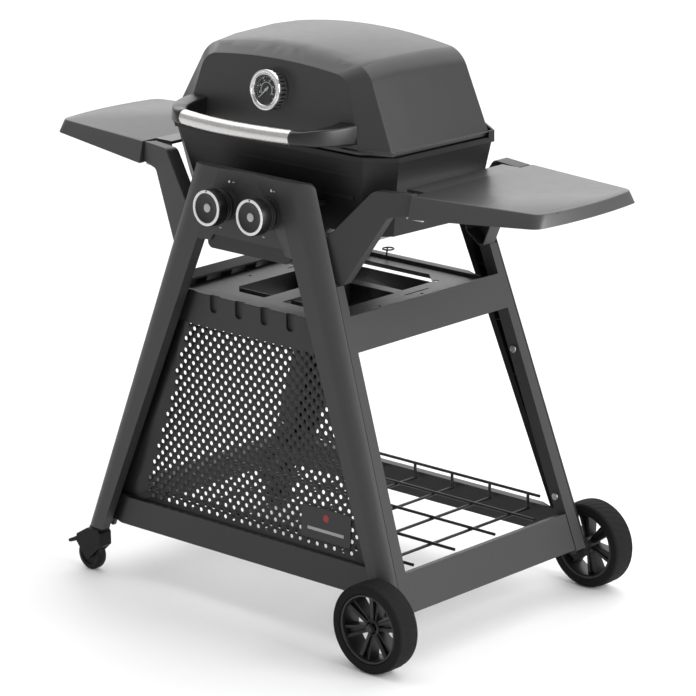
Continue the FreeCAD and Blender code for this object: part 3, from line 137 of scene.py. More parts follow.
def grained(name, colour, roughness, grain=900.0, depth=0.00006, wear=0.06, gloss=0.5):
    """Moulded plastic or powder coat: fine grain, slightly uneven colour and gloss."""
    material, shader = new_material(name, colour, roughness)
    shader.inputs["Specular IOR Level"].default_value = gloss
    vector = object_coordinates(material)
    cloud = noise(material, vector, 7.0, 4.0)
    tinted(material, shader, cloud, colour, 1.0 - wear, 1.0 + wear)
    patch = noise(material, vector, 45.0)
    unevenness = 0.012
    material.node_tree.links.new(spread(material, patch, roughness - unevenness, roughness + unevenness),
                                 shader.inputs["Roughness"])
    add_bump(material, shader, noise(material, vector, grain, 2.0), depth)
    return material


def brushed(name, colour, roughness, stretch):
    """Metal with fine scratches along one direction."""
    material, shader = new_material(name, colour, roughness, metallic=1.0)
    vector = object_coordinates(material, stretch)
    lines = noise(material, vector, 60.0, 4.0)
    material.node_tree.links.new(spread(material, lines, roughness - 0.08, roughness + 0.1),
                                 shader.inputs["Roughness"])
    tinted(material, shader, lines, colour, 0.86, 1.08)
    add_bump(material, shader, lines, 0.00003)
    return material


def clear_glass(name):
    material, shader = new_material(name, (0.95, 0.97, 0.97), 0.03)
    shader.inputs["Transmission Weight"].default_value = 1.0
    shader.inputs["IOR"].default_value = 1.2
    cloud = noise(material, object_coordinates(material), 30.0)
    material.node_tree.links.new(spread(material, cloud, 0.02, 0.05), shader.inputs["Roughness"])
    return material


FRAME = grained("frame_plastic", (0.029, 0.029, 0.0292), 0.5)
# The rear frame is the front frame's plastic, made much darker and duller as painted shade for the back of
# the cart.
REAR_FRAME_SHADED = grained("rear_frame_painted_shade", grey(0.005), 0.6, gloss=0.25)
SIDE = grained("side_plastic", grey(0.024), 0.5)
RAIL = grained("rail_plastic", grey(0.014), 0.48)
MESH_PANEL = grained("panel_coat", (0.012, 0.012, 0.0122), 0.5, grain=1500.0)
BADGE = grained("badge_gloss", grey(0.006), 0.35)
BLACK_COAT = grained("black_coat", grey(0.006), 0.42, grain=1400.0)
ARM = grained("arm_coat", grey(0.022), 0.5)
SHELF = grained("shelf_plastic", grey(0.044), 0.36, wear=0.03)
TYRE = grained("tyre_rubber", grey(0.012), 0.7, grain=700.0, depth=0.0001, gloss=0.08)
WHEEL = grained("wheel_plastic", grey(0.007), 0.42)
CASTER = grained("caster_plastic", grey(0.005), 0.5, gloss=0.2)
KNOB = grained("knob_plastic", grey(0.004), 0.4)
KNOB_FACE = grained("knob_face", grey(0.008), 0.45)
# The firebox's dark coat is made darker still as painted shade, for the shade under the lid's overhang.
FIREBOX_SHADED_COAT = grained("firebox_coat_painted_shade", grey(0.008), 0.5, grain=600.0, depth=0.0001, gloss=0.32)
LID = grained("lid_coat", grey(0.024), 0.36, grain=600.0, depth=0.00005)
BRACKET = grained("bracket_plastic", grey(0.006), 0.35, grain=1200.0, depth=0.00002)
IRON = grained("grate_iron", grey(0.02), 0.5, grain=500.0, depth=0.0002)
WHITE = grained("mark_white", grey(0.8), 0.4)
DIM_WHITE = grained("mark_grey", grey(0.35), 0.45)
DULL_RED = grained("mark_red", (0.3, 0.012, 0.01), 0.4)
DIAL_BLACK = grained("dial_black", grey(0.004), 0.4)
RING_WHITE = grained("knob_ring", grey(0.75), 0.3)
CAP = grained("knob_cap", grey(0.42), 0.35)
STEEL = brushed("plain_steel", grey(0.5), 0.32, (1.0, 8.0, 8.0))
HANDLE = brushed("handle_steel", (0.62, 0.61, 0.6), 0.3, (1.0, 14.0, 14.0))
CHROME = brushed("chrome", grey(0.82), 0.12, (1.0, 1.0, 1.0))
BRASS = brushed("brass", (0.6, 0.45, 0.2), 0.35, (1.0, 6.0, 6.0))
ALUMINIUM = brushed("tray_aluminium", grey(0.55), 0.4, (6.0, 1.0, 6.0))
GLASS = clear_glass("dial_glass")

LOOKS = {
    FRAME: ["front_frame"],
    REAR_FRAME_SHADED: ["rear_frame"],
    SIDE: ["left_side_frame", "right_side_frame", "left_lower_beam", "right_lower_beam"],
    RAIL: ["front_bottom_rail", "rear_bottom_rail", "rear_cross_rail", "tool_rail"],
    MESH_PANEL: ["perforated_panel"],
    BADGE: ["badge_plate"],
    BLACK_COAT: ["equipment_tray", "wire_shelf", "hose_ring", "control_box", "warming_rack", "wheel_axles",
                 "gas_manifold"],
    ARM: ["front_left_arm", "front_right_arm", "rear_left_arm", "rear_right_arm"],
    SHELF: ["left_shelf", "right_shelf"],
    STEEL: ["shelf_hinge_pins", "lid_hinge_pins", "frame_bolts", "burners", "flame_tamers", "igniters",
            "left_valve_stem", "right_valve_stem"],
    TYRE: ["front_wheel_tyre", "rear_wheel_tyre"],
    WHEEL: ["front_wheel_rim", "rear_wheel_rim"],
    CASTER: ["front_caster_fork", "rear_caster_fork", "front_caster_wheel", "rear_caster_wheel",
             "front_caster_brake", "rear_caster_brake", "front_caster_stem", "rear_caster_stem"],
    KNOB: ["left_knob", "right_knob"],
    BRASS: ["left_valve", "right_valve"],
    IRON: ["cooking_grates"],
    FIREBOX_SHADED_COAT: ["firebox"],
    LID: ["lid"],
    HANDLE: ["handle_tube"],
    BRACKET: ["left_handle_bracket", "right_handle_bracket"],
    CHROME: ["thermometer_bezel"],
    DIAL_BLACK: ["thermometer_dial"],
    WHITE: ["thermometer_needle"],
    GLASS: ["thermometer_lens"],
    ALUMINIUM: ["drip_tray"],
}
PLAIN_ROUNDING = 1.0
ROUNDING = {"front_frame": 2.5, "rear_frame": 2.5, "lid": 3.0, "firebox": 2.0, "left_shelf": 1.5,
            "right_shelf": 1.5, "front_left_arm": 2.0, "front_right_arm": 2.0, "rear_left_arm": 2.0,
            "rear_right_arm": 2.0}


def merge_flat_faces(piece):
    """Joins the triangles of a CAD mesh into flat faces, so that only real edges get rounded."""
    merge = piece.modifiers.new("weld", "WELD")
    merge.merge_threshold = 0.00002
    flatten = piece.modifiers.new("flatten", "DECIMATE")
    flatten.decimate_type = "DISSOLVE"
    flatten.angle_limit = math.radians(0.4)


def round_off(piece, width):
    """Small rounded edges, which catch the light as moulded edges do."""
    bevel = piece.modifiers.new("bevel", "BEVEL")
    bevel.width = width * MM
    bevel.segments = 2
    bevel.limit_method = "ANGLE"
    bevel.angle_limit = math.radians(28)
    bevel.use_clamp_overlap = True
    normals = piece.modifiers.new("normals", "WEIGHTED_NORMAL")
    normals.keep_sharp = False


for material, names in LOOKS.items():
    for name in names:
        node = nodes[name]
        node.data.materials.clear()
        node.data.materials.append(material)
        merge_flat_faces(node)
        round_off(node, ROUNDING.get(name, PLAIN_ROUNDING))


# ---------------------------------------------------------------- mesh building

def add_piece(name, verts, faces, material, body, place=CENTRE, rounding=0.0, sharp=35.0):
    """A mesh in local millimetres, set in place and riding on a CAD body."""
    mesh = bpy.data.meshes.new(name)
    mesh.from_pydata([tuple(v) for v in verts], [], faces)
    work = bmesh.new()
    work.from_mesh(mesh)
    bmesh.ops.remove_doubles(work, verts=work.verts, dist=0.001)
    bmesh.ops.recalc_face_normals(work, faces=work.faces)
    work.to_mesh(mesh)
    work.free()
    mesh.transform(place @ Matrix.Scale(MM, 4))
    mesh.polygons.foreach_set("use_smooth", [True] * len(mesh.polygons))
    mesh.set_sharp_from_angle(angle=math.radians(sharp))
    mesh.materials.append(material)
    piece = bpy.data.objects.new(name, mesh)
    bpy.context.scene.collection.objects.link(piece)
    if rounding:
        round_off(piece, rounding)
    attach(piece, body)
    return piece


def band_faces(rows, count):
    """Faces that join closed rings of count points, row after row."""
    faces = []
    for row in range(rows - 1):
        for step in range(count):
            a = row * count + step
            b = row * count + (step + 1) % count
            faces.append((a, b, b + count, a + count))
    return faces


def lathe(profile, count=64):
    """A profile of (radius, y) turned about the local Y axis."""
    verts = []
    for radius, y in profile:
        for step in range(count):
            angle = 2 * math.pi * step / count
            verts.append((radius * math.cos(angle), y, radius * math.sin(angle)))
    return verts, band_faces(len(profile), count)


def skin(rings):
    """A closed solid over a list of rings that all have the same number of points."""
    count = len(rings[0])
    verts = [point for ring in rings for point in ring]
    faces = band_faces(len(rings), count)
    faces.append(tuple(range(count)))
    last = (len(rings) - 1) * count
    faces.append(tuple(range(last + count - 1, last - 1, -1)))
    return verts, faces


def prism(outline, near, far):
    """An (x, z) outline pushed along Y from near to far."""
    count = len(outline)
    verts = [(x, near, z) for x, z in outline] + [(x, far, z) for x, z in outline]
    faces = [tuple(range(count)), tuple(range(2 * count - 1, count - 1, -1))]
    return verts, faces + band_faces(2, count)


def joined(parts):
    verts, faces = [], []
    for part_verts, part_faces in parts:
        start = len(verts)
        verts.extend(part_verts)
        faces.extend(tuple(index + start for index in face) for face in part_faces)
    return verts, faces


def placed(part, matrix):
    verts, faces = part
    return [tuple(matrix @ Vector(v)) for v in verts], faces


def spun(degrees):
    """A turn about the local Y axis."""
    return Matrix.Rotation(math.radians(degrees), 4, "Y")


def arc_points(centre, radii, steps, first=0.0, sweep=360.0):
    """Points on a round or oval arc, its far end left out."""
    points = []
    for step in range(steps):
        angle = math.radians(first + sweep * step / steps)
        points.append((centre[0] + radii[0] * math.cos(angle), centre[1] + radii[1] * math.sin(angle)))
    return points


# ---------------------------------------------------------------- the leaning frames

LEG_INSIDE_AT_FLOOR = 398.2
LEG_INSIDE_SLOPE = 0.3844


def leg_inside(up):
    """Half the gap between a frame's two legs, at a height along them."""
    return LEG_INSIDE_AT_FLOOR - LEG_INSIDE_SLOPE * up


def rear_leg_web(side):
    """The wide inner web that runs down the back frame's leg; its side is the frame's own."""
    low, high, wide, lap = 150.0, 700.0, 24.0, 2.0
    outline = [((leg_inside(low) + lap) * side, low), ((leg_inside(high) + lap) * side, high),
               ((leg_inside(high) - wide) * side, high), ((leg_inside(low) - wide) * side, low)]
    word = "right" if side < 0 else "left"
    # Its colour is the rear frame's darkened plastic, which is painted shade.
    web = add_piece("rear_leg_web_" + word, *prism(outline, -14.0, -11.5), REAR_FRAME_SHADED, "cart", REAR)


# ---------------------------------------------------------------- perforated panel

SHEET_LOW, SHEET_HIGH, SHEET_MARGIN, SHEET_BACK, SHEET_THICK = 141.0, 566.3, 16.0, 19.0, 1.5
HOLE_RADIUS, HOLE_CORNERS = 4.15, 14
HOLE_PITCH_X, HOLE_PITCH_Z = 21.7, 11.3
HOLE_ROWS, TOP_ROW = 33, 541.0
TOP_ROW_HALF, BOTTOM_ROW_HALF = 177.0, 281.0
COLUMNS_EACH_SIDE = 14


def hole_rows():
    """Hole centres, row by row from the top; every second row moves by half a pitch."""
    rows = []
    for row in range(HOLE_ROWS):
        half = TOP_ROW_HALF + (BOTTOM_ROW_HALF - TOP_ROW_HALF) * row / (HOLE_ROWS - 1)
        shift = 0.5 * (row % 2)
        places = [(column + shift) * HOLE_PITCH_X
                  for column in range(-COLUMNS_EACH_SIDE, COLUMNS_EACH_SIDE + 1)]
        rows.append([Vector((x, TOP_ROW - row * HOLE_PITCH_Z)) for x in places if abs(x) <= half])
    return rows


def in_a_hole(point, rows):
    row = round((TOP_ROW - point.y) / HOLE_PITCH_Z)
    for near_row in rows[max(0, row - 1):row + 2]:
        if any((point - hole).length < HOLE_RADIUS for hole in near_row):
            return True
    return False


def perforated_panel():
    low_half, high_half = leg_inside(SHEET_LOW) + SHEET_MARGIN, leg_inside(SHEET_HIGH) + SHEET_MARGIN
    points = [Vector((-low_half, SHEET_LOW)), Vector((low_half, SHEET_LOW)),
              Vector((high_half, SHEET_HIGH)), Vector((-high_half, SHEET_HIGH))]
    edges = [(corner, (corner + 1) % 4) for corner in range(4)]
    rows = hole_rows()
    for row in rows:
        for hole in row:
            start = len(points)
            points += [Vector(p) for p in arc_points(hole, (HOLE_RADIUS, HOLE_RADIUS), HOLE_CORNERS)]
            edges += [(start + step, start + (step + 1) % HOLE_CORNERS) for step in range(HOLE_CORNERS)]
    flat, _, triangles, *_ = delaunay_2d_cdt(points, edges, [], 0, 1e-5)
    kept = []
    for triangle in triangles:
        centre = sum((flat[index] for index in triangle), Vector((0.0, 0.0))) / 3
        if not in_a_hole(centre, rows):
            kept.append(tuple(triangle))
    verts = [(p.x, SHEET_BACK, p.y) for p in flat]
    piece = add_piece("perforated_sheet", verts, kept, MESH_PANEL, "cart", FRONT)
    thick = piece.modifiers.new("thickness", "SOLIDIFY")
    thick.thickness = SHEET_THICK * MM
    thick.offset = -1.0
    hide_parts("perforated_panel")


def badge():
    """A blank plate on the perforated panel, with a plain disc and a plain bar."""
    left, right, low, high, radius = 133.0, 258.0, 187.0, 250.0, 5.0
    outline = []
    for x, z, first in ((right - radius, high - radius, 0), (left + radius, high - radius, 90),
                        (left + radius, low + radius, 180), (right - radius, low + radius, 270)):
        outline += arc_points((x, z), (radius, radius), 7, first, 105.0)
    plate = add_piece("badge_blank", *prism(outline, 16.0, 19.0), BADGE, "cart", FRONT, rounding=0.6)
    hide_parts("badge_plate")
    spot = arc_points((195.5, 232.0), (7.0, 7.0), 24)
    disc_mark = add_piece("badge_disc", *prism(spot, 15.7, 16.2), DULL_RED, "cart", FRONT)
    bar = [(150.0, 204.0), (241.0, 204.0), (241.0, 210.0), (150.0, 210.0)]
    bar_mark = add_piece("badge_bar", *prism(bar, 15.7, 16.2), DIM_WHITE, "cart", FRONT)


# ---------------------------------------------------------------- knobs

PANEL_TOP, PANEL_STEP_FROM, PANEL_FACE = 859.0, 717.5, 15.0


def panel_depth(x, up):
    """How far the control panel's face stands out; it rises softly towards each leg."""
    climb = (up - PANEL_STEP_FROM) / (PANEL_TOP - PANEL_STEP_FROM)
    reach = 26.0 + 34.0 * climb
    rise = max(0.0, abs(x) - leg_inside(up) + reach) / (reach + 1.0)
    leg_depth = 5.0 + 0.006 * up
    return PANEL_FACE + leg_depth * rise


def panel_marks(word, side, place):
    """Small plain dots and dashes round a knob: their places, half widths and half heights."""
    marks = ((7.4, 45.8, 2.6, 2.6), (16.4, 45.6, 4.2, 1.2), (-15.4, -46.0, 3.4, 1.3))
    for number, (x, up, half_x, half_z) in enumerate(marks):
        surface = -panel_depth(KNOB_X * side + x, KNOB_UP + up)
        outline = arc_points((x, up), (half_x, half_z), 16)
        mark = add_piece("%s_panel_mark_%d" % (word, number), *prism(outline, surface - 0.3, surface + 0.5),
                         DIM_WHITE if number else WHITE, "cart", place)


def knob(word, side):
    place = FRONT @ moved(KNOB_X * side, 0, KNOB_UP)
    body = word + "_knob"
    profile = [(0, -29.5), (29, -29.5), (30, -30.3), (30, -33.4), (31.2, -34.2), (31.2, -35.2), (30.2, -36),
               (30.2, -39.4), (31.4, -40.2), (31.4, -41.4), (30.6, -42.2), (30.6, -45.2), (32.6, -46.2),
               (34.4, -47.6), (35.0, -49), (35.2, -69.0), (34.6, -70.6), (33.0, -71.0)]
    grip = add_piece(word + "_knob_grip", *lathe(profile, 96), KNOB, body, place)
    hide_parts(word + "_knob")
    ring_profile = [(33.2, -69.0), (33.6, -70.4), (33.4, -71.8), (32.4, -72.6), (29.6, -72.8), (28.4, -72.0),
                    (28.2, -69.6), (33.2, -69.0)]
    ring = add_piece(word + "_knob_ring", *lathe(ring_profile, 96), RING_WHITE, body, place)
    dish = [(28.8, -70.4), (27.4, -71.2), (26.4, -70.6), (23, -69.0), (16, -67.8), (9, -67.6), (0, -67.6)]
    face = add_piece(word + "_knob_dish", *lathe(dish, 96), KNOB_FACE, body, place)
    cap = [(8.2, -67.4), (8.2, -68.8), (7.4, -69.4), (3.2, -69.6), (0, -69.4)]
    dot = add_piece(word + "_knob_cap", *lathe(cap, 48), CAP, body, place)
    arrow = [(-2.0, 32.9), (0.0, 28.9), (2.0, 32.9)]
    notch = add_piece(word + "_knob_pointer", *prism(arrow, -73.1, -72.0), KNOB, body, place)
    panel_marks(word, side, place)


# ---------------------------------------------------------------- thermometer

def fan(count, sweep):
    """Angles spread evenly over a sweep that is centred on the dial's top."""
    return [sweep * number / (count - 1) - sweep / 2 for number in range(count)]


def radial_bar(angle, half, inner, outer, near, far):
    """A short bar that points at the dial's middle."""
    bar = prism([(-half, inner), (half, inner), (half, outer), (-half, outer)], near, far)
    return placed(bar, spun(angle))


def dial_marks():
    """Plain ticks on the outside, a band of small blocks inside them and six larger blocks."""
    near, far = -18.2, -17.4
    marks = []
    for number, angle in enumerate(fan(26, 260.0)):
        half, inner = (0.35, 23.0) if number % 5 else (0.75, 21.0)
        marks.append(radial_bar(angle, half, inner, 25.2, near, far))
    marks += [radial_bar(angle, 0.9, 13.4, 14.6, near, far) for angle in fan(40, 240.0)]
    marks += [radial_bar(angle, 1.6, 16.8, 18.8, near, far) for angle in fan(6, 220.0)]
    return marks


def thermometer():
    body = "lid"
    barrel = [(0, 0.2), (36, 0.0), (38, -2.0), (38.2, -4.0), (38.2, -21.5), (37.4, -23.6), (35.2, -24.6),
              (33.0, -24.2), (32.2, -22.6), (31.4, -22.8), (30.6, -24.0), (28.8, -24.4), (27.4, -22.6),
              (27.0, -18.0), (27.0, -16.0)]
    housing = add_piece("thermometer_housing", *lathe(barrel, 120), CHROME, body, DIAL)
    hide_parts("thermometer_bezel")
    groove_count = 30
    grooves = [radial_bar(360.0 * number / groove_count, 1.5, 37.2, 38.7, -18.5, -7.0)
               for number in range(groove_count)]
    grip = add_piece("thermometer_grooves", *joined(grooves), DIAL_BLACK, body, DIAL)
    scale = add_piece("thermometer_scale", *joined(dial_marks()), WHITE, body, DIAL)
    outline = [(-1.9, -8), (1.9, -8), (1.5, 0), (0.3, 23), (-0.3, 23), (-1.5, 0)]
    pivot = lathe([(0.0, -20.9), (2.6, -20.9), (2.6, -18.0), (0.0, -18.0)], 48)
    pointer = joined([placed(prism(outline, -20.4, -19.4), spun(-135.0)), pivot])
    needle = add_piece("thermometer_pointer", *pointer, WHITE, "thermometer_needle", DIAL)
    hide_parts("thermometer_needle")


# ---------------------------------------------------------------- wheels

SPOKES, FIRST_SPOKE = 6, 12.0


def tyre_mesh():
    """Rings round the axle, with shallow tread notches on the running surface."""
    count = 144
    profile = [(66.2, 1.0), (67.5, 2.4), (75, 3.0), (80.5, 2.0), (83.4, -1.0), (84.6, -5.5), (85, -13),
               (85, -22), (85, -31), (84.8, -39.5), (84.2, -44.0), (82.0, -47.0), (80.2, -47.2),
               (79.6, -48.2), (73, -49.0), (68, -47.6), (66.2, -44.0)]
    outer_rows, middle_row, inner_rows = (5, 6), 7, (8, 9)
    verts = []
    for row, (radius, y) in enumerate(profile):
        for step in range(count):
            notch = 0.0
            if row in outer_rows and step % 4 < 2:
                notch = 1.6
            if row in inner_rows and (step + 2) % 4 < 2:
                notch = 1.6
            if row == middle_row and step % 4 == 1:
                notch = 1.3
            angle = 2 * math.pi * (step + 0.35 * (row - middle_row)) / count
            reach = radius - notch
            verts.append((reach * math.cos(angle), y, reach * math.sin(angle)))
    return verts, band_faces(len(profile), count)


def spoke(angle):
    """Two flat ribs that part towards the rim, over a recessed web."""
    hub_end, rim_end, back = 12.0, 61.5, -12.0
    front_in, front_out = -32.0, -41.0
    parts = []
    for hand in (-1, 1):
        inner_near, inner_far = hand * 1.0, hand * 6.4
        outer_near, outer_far = hand * 5.4, hand * 12.4
        rib = [[(inner_near, front_in + 2.5, hub_end), (inner_far, front_in, hub_end),
                (inner_far, back, hub_end), (inner_near, back, hub_end)],
               [(outer_near, front_out + 3.0, rim_end), (outer_far, front_out, rim_end),
                (outer_far, back, rim_end), (outer_near, back, rim_end)]]
        parts.append(placed(skin(rib), spun(angle)))
    web = [[(-3.0, -24.5, 14.0), (3.0, -24.5, 14.0), (3.0, -14.0, 14.0), (-3.0, -14.0, 14.0)],
           [(-7.0, -30.0, 60.5), (7.0, -30.0, 60.5), (7.0, -16.0, 60.5), (-7.0, -16.0, 60.5)]]
    parts.append(placed(skin(web), spun(angle)))
    return parts


def wheel(word, side):
    """Dished plastic wheel with six grooved spokes and a tyre with a shallow tread."""
    body = word + "_wheel"
    place = moved(WHEEL_X, WHEEL_HUB_Y * side, WHEEL_RADIUS)
    if side > 0:
        place = place @ HALF_TURN
    tyre = add_piece(word + "_tyre_tread", *tyre_mesh(), TYRE, body, place, sharp=28.0)
    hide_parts(word + "_wheel_tyre")
    ring = [(66.6, -44.5), (64.5, -46.2), (62.0, -45.6), (60.8, -43.0), (60.2, -39.0), (58.4, -20.0),
            (60.2, -2.0), (61.5, 0.5), (66.6, 1.0)]
    hub = [(0.0, 3.8), (16.5, 3.8), (17.5, 2.0), (17.5, -27.0), (15.5, -32.0), (12.5, -34.0), (11.5, -31.0),
           (10.0, -27.5), (0.0, -27.5)]
    parts = [lathe(ring, 120), lathe(hub, 72)]
    for number in range(SPOKES):
        parts += spoke(360.0 / SPOKES * number + FIRST_SPOKE)
    centre = add_piece(word + "_wheel_centre", *joined(parts), WHEEL, body, place, rounding=0.7)
    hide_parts(word + "_wheel_rim")
    cap_profile = [(8.0, -26.0), (8.0, -40.6), (6.6, -42.2), (3.0, -42.8), (0.0, -42.9)]
    cap = add_piece(word + "_wheel_cap", *lathe(cap_profile, 48), BLACK_COAT, body, place)


def caster_wheel(word, side):
    """Small wheel with a raised tread ring, a dished side and a hub."""
    place = moved(-CASTER_X, CASTER_Y * side, CASTER_RADIUS)
    half = [(0.0, 8.4), (5.0, 8.4), (6.0, 7.2), (8.0, 5.8), (17.0, 5.8), (19.5, 7.0), (20.6, 9.4),
            (22.0, 10.0), (27.0, 10.0), (29.6, 8.6), (CASTER_RADIUS, 5.6)]
    profile = half + [(radius, -y) for radius, y in reversed(half)]
    roller = add_piece(word + "_caster_roller", *lathe(profile, 72), CASTER, word + "_caster_wheel", place)
    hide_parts(word + "_caster_wheel")


# ---------------------------------------------------------------- handle brackets

def bracket_ring(t, side):
    """Cross-section of a handle bracket, from the tube's end (t 0) to its foot on the lid (t 1)."""
    # the centre line bends from across the lid to straight at it
    x = 138.0 + 52.0 * math.sin(math.pi / 2 * t) ** 1.1
    y = -90.0 + 90.5 * (1 - math.cos(math.pi / 2 * t)) ** 0.95
    middle = 25.2 + 9.5 * t ** 1.6
    heading = math.radians(4.0 + 86.0 * t ** 1.2)
    across = Vector((math.sin(heading), -math.cos(heading), 0.0))
    half_width = 14.8 + 7.5 * t ** 1.6
    half_height = 14.6 - 1.6 * math.sin(math.pi * min(1.0, t * 2.2)) + 4.6 * t ** 2.2
    # round at the tube, nearly square at the lid
    power = 2.0 + 8.0 * t ** 0.7
    points = 32
    ring = []
    for number in range(points):
        turn = 2 * math.pi * number / points
        c, s = math.cos(turn), math.sin(turn)
        u = math.copysign(abs(c) ** (2 / power), c) * half_width
        v = math.copysign(abs(s) ** (2 / power), s) * half_height
        point = Vector((x, y, middle)) + across * u + Vector((0, 0, v))
        ring.append((point.x * side, point.y, point.z))
    return ring


def handle_bracket(word, side):
    """Smooth arm that swells from the tube's end to its flat foot on the lid."""
    steps = 26
    rings = [bracket_ring(step / steps, side) for step in range(steps + 1)]
    arm = add_piece(word + "_bracket_arm", *skin(rings), BRACKET, "lid", LID_FACE, sharp=40.0)
    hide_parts(word + "_handle_bracket")


# ---------------------------------------------------------------- equipment tray

# left, right, near and far edge of each opening
TRAY_OPENINGS = ((-125.0, 125.0, 53.0, 139.0), (12.0, 128.0, -133.0, 29.0), (-128.0, -35.0, -133.0, 29.0))


def tray_flanges():
    """Deep lips round the tray's three openings."""
    top, bottom, thick = 598.0, 548.0, 1.6
    walls = []
    for left, right, near, far in TRAY_OPENINGS:
        for x0, x1, y0, y1 in ((left - thick, right + thick, near - thick, near),
                               (left - thick, right + thick, far, far + thick),
                               (left - thick, left, near, far), (right, right + thick, near, far)):
            corners = ((x0, y0), (x1, y0), (x1, y1), (x0, y1))
            walls.append(skin([[(x, y, z) for x, y in corners] for z in (bottom, top)]))
    flanges = add_piece("tray_flanges", *joined(walls), BLACK_COAT, "cart", rounding=0.3)


# ---------------------------------------------------------------- side shelves

SHELF_TOP, SHELF_ROOT, SHELF_TIP = 858.0, 344.5, 624.0
SKIRT_DEPTH, SHELF_WALL = 48.0, 3.0
ROOT_HALF, TIP_HALF = 170.4, 131.4
CURVE_STEPS = 8


def shelf_outline(depth, inset):
    """Shelf outline at a depth below its top: drafted sides and a bowed tip with round corners."""
    down = depth / SKIRT_DEPTH
    bow, cut_back, end_wall = 14.0, 17.0, 14.0
    root_half = ROOT_HALF + 11.0 * down - inset
    tip_half = TIP_HALF + 22.0 * down - inset
    tip = SHELF_TIP - bow + 10.0 * down - inset
    slope = (root_half - tip_half) / (tip - SHELF_ROOT)
    start = Vector((tip - cut_back, -tip_half - slope * cut_back))
    corner = Vector((tip, -tip_half))
    end_half = tip_half - cut_back
    end = Vector((tip + bow * (1 - (end_half / tip_half) ** 2), -end_half))
    root = SHELF_ROOT + inset
    half = [Vector((root, -root_half + end_wall + 0.1)), Vector((root, -root_half + end_wall)),
            Vector((root, -root_half)), start]
    for step in range(1, CURVE_STEPS + 1):
        t = step / CURVE_STEPS
        half.append(start * (1 - t) ** 2 + corner * (2 * t * (1 - t)) + end * t ** 2)
    for step in range(1, CURVE_STEPS + 1):
        y = -end_half * (1 - step / CURVE_STEPS)
        half.append(Vector((tip + bow * (1 - (y / tip_half) ** 2), y)))
    return half + [Vector((p.x, -p.y)) for p in reversed(half[:-1])]


def skirt_depths():
    """Depth of the skirt below each outline point; its end wall is shallow between the arms."""
    root_depth, thinning, middle_depth = 42.0, 21.5, 14.0
    run = SHELF_TIP + 40.0 - SHELF_ROOT
    depths = [root_depth - thinning * (p.x - SHELF_ROOT) / run for p in shelf_outline(0.0, 0.0)]
    depths[0] = depths[-1] = middle_depth
    return depths


def shelf_ring(inset, depths):
    """Outline points, each at its own depth below the top."""
    ring = []
    for index, depth in enumerate(depths):
        point = shelf_outline(depth, inset)[index]
        ring.append((point.x, point.y, SHELF_TOP - depth))
    return ring


def side_shelf(word, place):
    top = SHELF_TOP
    skirt = skirt_depths()
    rounded_top = [shelf_ring(inset, [depth] * len(skirt))
                   for inset, depth in ((1.5, 0.0), (0.5, 0.4), (0.0, 1.4))]
    underside = [shelf_ring(0.0, skirt), shelf_ring(SHELF_WALL, skirt),
                 shelf_ring(SHELF_WALL, [SHELF_WALL] * len(skirt))]
    tongue = [(302.0, top - 6), (352.0, top - 6), (352.0, top - 0.1), (302.0, top - 0.1)]
    parts = [skin(rounded_top + underside), prism(tongue, -134.0, 134.0)]
    ear = [(337.5, top - 3), (337.5, 814.5), (340.0, 809.0), (345.5, 806.4), (351.0, 809.0), (353.5, 814.5),
           (359.5, top - 3)]
    for near in (-139.5, 127.0):
        parts.append(prism(ear, near, near + 12.5))
    rib = [(346.0, top - 26), (SHELF_TIP - 16, top - 11), (SHELF_TIP - 4, top - 2), (346.0, top - 2)]
    for near in (-91.2, -31.2, 28.8, 88.8):
        parts.append(prism(rib, near, near + 2.4))
    piece = add_piece(word + "_shelf_shell", *joined(parts), SHELF, word + "_shelf", place, sharp=40.0)
    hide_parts(word + "_shelf")


# ---------------------------------------------------------------- all pieces

perforated_panel()
tray_flanges()
side_shelf("right", CENTRE)
side_shelf("left", HALF_TURN)
rear_leg_web(-1)
rear_leg_web(1)
for word, side in ENDS:
    caster_wheel(word, side)
for word, side in SIDES:
    knob(word, side)
    handle_bracket(word, side)
thermometer()
for word, side in ENDS:
    wheel(word, side)
badge()


# ---------------------------------------------------------------- floor, light and camera

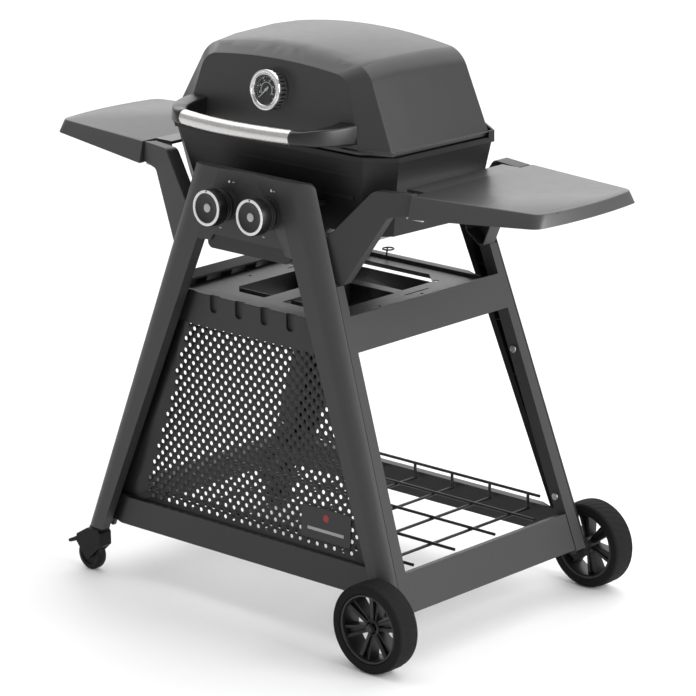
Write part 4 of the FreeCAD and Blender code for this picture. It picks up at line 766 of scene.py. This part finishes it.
def floor():
    half = 12.0
    mesh = bpy.data.meshes.new("floor")
    mesh.from_pydata([(-half, -half, 0), (half, -half, 0), (half, half, 0), (-half, half, 0)], [],
                     [(0, 1, 2, 3)])
    material, _ = new_material("pale_floor", grey(0.86), 0.6)
    mesh.materials.append(material)
    piece = bpy.data.objects.new("floor", mesh)
    bpy.context.scene.collection.objects.link(piece)


def lights():
    """A pale world, one very soft sun from above and a large lamp on the right."""
    world = bpy.data.worlds.new("studio")
    bpy.context.scene.world = world
    world.use_nodes = True
    background = world.node_tree.nodes["Background"]
    background.inputs["Color"].default_value = (1.0, 1.0, 1.0, 1.0)
    background.inputs["Strength"].default_value = 0.56
    sun = bpy.data.lights.new("overhead", "SUN")
    sun.energy = 2.6
    sun.angle = math.radians(100)
    overhead = bpy.data.objects.new("overhead", sun)
    overhead.rotation_euler = Vector((0.45, -0.62, -1.0)).to_track_quat("-Z", "Y").to_euler()
    bpy.context.scene.collection.objects.link(overhead)
    area = bpy.data.lights.new("right", "AREA")
    area.size = 2.2
    area.energy = 110.0
    lamp = bpy.data.objects.new("right", area)
    lamp.location = (3.4, 0.4, 1.7)
    aim = Vector((0.2, 0.0, 0.7)) - lamp.location
    lamp.rotation_euler = aim.to_track_quat("-Z", "Y").to_euler()
    bpy.context.scene.collection.objects.link(lamp)


def camera():
    azimuth, elevation, roll = math.radians(42.40), math.radians(15.84), math.radians(-0.23)
    target, distance = Vector((-0.14132, 0.19068, 0.40595)), 7.1289
    back = Vector((math.sin(azimuth) * math.cos(elevation), -math.cos(azimuth) * math.cos(elevation),
                   math.sin(elevation)))
    right = Vector((math.cos(azimuth), math.sin(azimuth), 0.0))
    up = back.cross(right)
    rolled_right = right * math.cos(roll) + up * math.sin(roll)
    rolled_up = back.cross(rolled_right)
    rotation = Matrix((rolled_right, rolled_up, back)).transposed().to_4x4()
    lens = bpy.data.cameras.new("camera")
    lens.sensor_width = 36.0
    lens.lens = 185.09
    lens.clip_end = 100.0
    view = bpy.data.objects.new("camera", lens)
    view.matrix_world = Matrix.Translation(target + back * distance) @ rotation
    bpy.context.scene.collection.objects.link(view)
    bpy.context.scene.camera = view


floor()
lights()
camera()
bpy.context.scene.view_settings.view_transform = "Standard"
